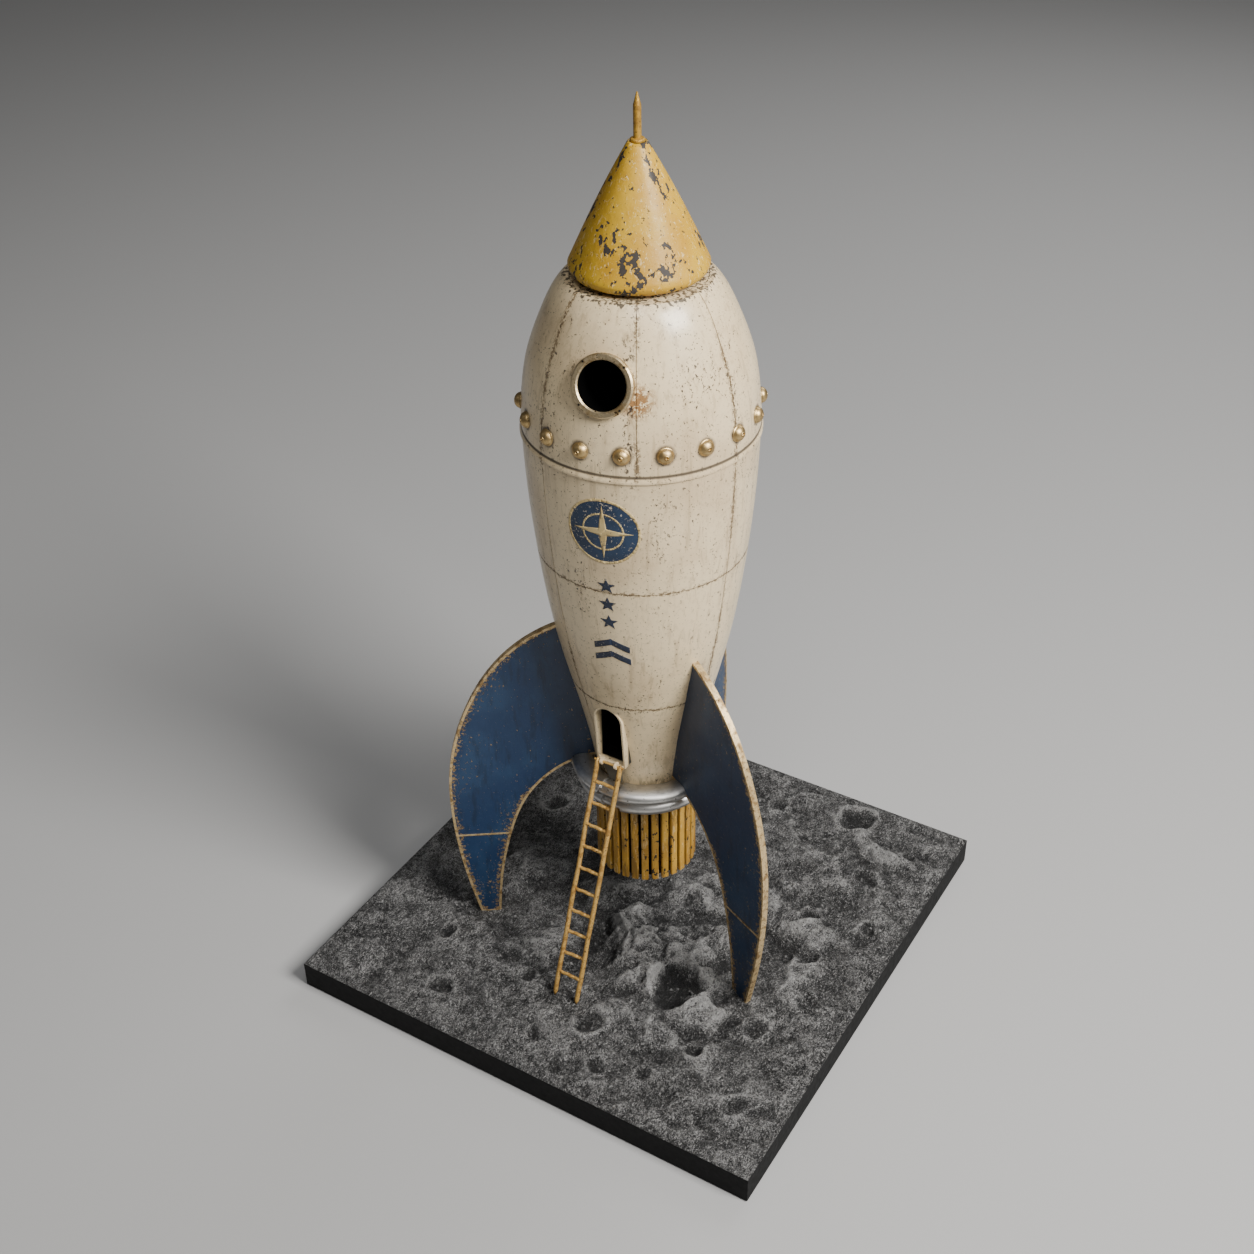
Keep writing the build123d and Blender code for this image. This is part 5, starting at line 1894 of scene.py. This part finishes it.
@dataclass
class Studio:
    """Pale floor, soft lights and the camera.

    The camera's distances are in half sides of the slab, counted from the ground's level. Its
    view is square; view_side, focal and centre are in one unit of their own.
    """

    unit: float = 0.150
    ground: float = 0.018
    azimuth: float = 32.26
    elevation: float = 35.59
    roll: float = -1.35
    distance: float = 6.3249
    slide: tuple[float, float] = (-0.0914, 0.1696)
    look_height: float = 1.2
    view_side: float = 1254.0
    focal: float = 1697.4
    centre: tuple[float, float] = (618.8, 623.7)
    sensor: float = 36.0
    floor_half: float = 6.0
    lamp_aim: float = 0.25

    @staticmethod
    def towards(azimuth: float, elevation: float) -> Vector:
        """Direction from the rocket to a place above the floor, its azimuth counted from -Y."""
        a, e = math.radians(azimuth), math.radians(elevation)
        return Vector((math.sin(a) * math.cos(e), -math.cos(a) * math.cos(e), math.sin(e)))

    def camera(self) -> None:
        """Camera at a raised front-right view of the rocket."""
        back = self.towards(self.azimuth, self.elevation)
        right = (-back).cross(Vector((0, 0, 1))).normalized()
        up = right.cross(-back)
        r = math.radians(self.roll)
        side = right * math.cos(r) + up * math.sin(r)
        lift = up * math.cos(r) - right * math.sin(r)
        spot = Vector((0, 0, self.look_height)) + back * self.distance
        spot = spot + right * self.slide[0] + up * self.slide[1]
        data = bpy.data.cameras.new("camera")
        data.sensor_width = self.sensor
        data.lens = self.sensor * (self.focal / self.view_side)
        data.shift_x = (self.view_side / 2 - self.centre[0]) / self.view_side
        data.shift_y = (self.centre[1] - self.view_side / 2) / self.view_side
        data.clip_start = 0.01
        data.clip_end = 50
        camera = bpy.data.objects.new("camera", data)
        bpy.context.scene.collection.objects.link(camera)
        turn = Matrix((side, lift, back)).transposed().to_4x4()
        camera.matrix_world = Matrix.Translation(spot * self.unit + Vector((0, 0, self.ground))) @ turn
        bpy.context.scene.camera = camera

    def floor(self) -> None:
        """Wide plain floor that the slab stands on."""
        corners = [(x * self.floor_half, y * self.floor_half, 0)
                   for x, y in ((-1, -1), (1, -1), (1, 1), (-1, 1))]
        finish = StudioFloor("studio_floor")
        new_piece("studio_floor", corners, [(0, 1, 2, 3)], [finish], smooth=False)

    def light(self, name: str, azimuth: float, elevation: float, distance: float, size: float, power: float,
              colour: Colour = (1.0, 1.0, 1.0)) -> None:
        """Soft square light that looks at the rocket.

        Args:
            name: Name of the light.
            azimuth: Where it stands, counted as the camera's is.
            elevation: How high it stands, in degrees.
            distance: How far away.
            size: Side of the square.
            power: Watts.
            colour: Its colour.
        """
        back = self.towards(azimuth, elevation)
        data = bpy.data.lights.new(name, "AREA")
        data.size = size
        data.energy = power
        data.color = colour
        lamp = bpy.data.objects.new(name, data)
        lamp.location = Vector((0, 0, self.lamp_aim)) + back * distance
        lamp.rotation_mode = "QUATERNION"
        lamp.rotation_quaternion = (-back).to_track_quat("-Z", "Y")
        bpy.context.scene.collection.objects.link(lamp)

    def world(self, strength: float) -> None:
        """Even grey surround.

        Args:
            strength: How bright it is.
        """
        world = bpy.data.worlds.new("studio_world")
        world.use_nodes = True
        inputs = world.node_tree.nodes["Background"].inputs
        inputs["Color"].default_value = (1, 1, 1, 1)
        inputs["Strength"].default_value = strength
        bpy.context.scene.world = world

    def build(self) -> None:
        """Set up the whole studio."""
        self.camera()
        self.floor()
        self.world(0.07)
        self.light("key", 82, 42, 1.5, 0.6, 44, (1.0, 0.975, 0.94))
        self.light("front", 28, 60, 1.9, 0.6, 8)
        self.light("left", -60, 30, 2.0, 0.8, 0.7)
        self.light("back", 175, 35, 1.9, 0.9, 9)


def main() -> None:
    """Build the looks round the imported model."""
    logging.basicConfig(level=logging.INFO, format="%(name)s: %(message)s")
    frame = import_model()
    nodes = frame["nodes"]
    parts = [kind(nodes) for kind in (MoonBase, Hull, Fins, Engine, Nose, Ladder)]
    for part in (*parts, Studio()):
        part.build()
        LOG.info("%s is done", type(part).__name__)


if __name__ == "__main__":
    main()
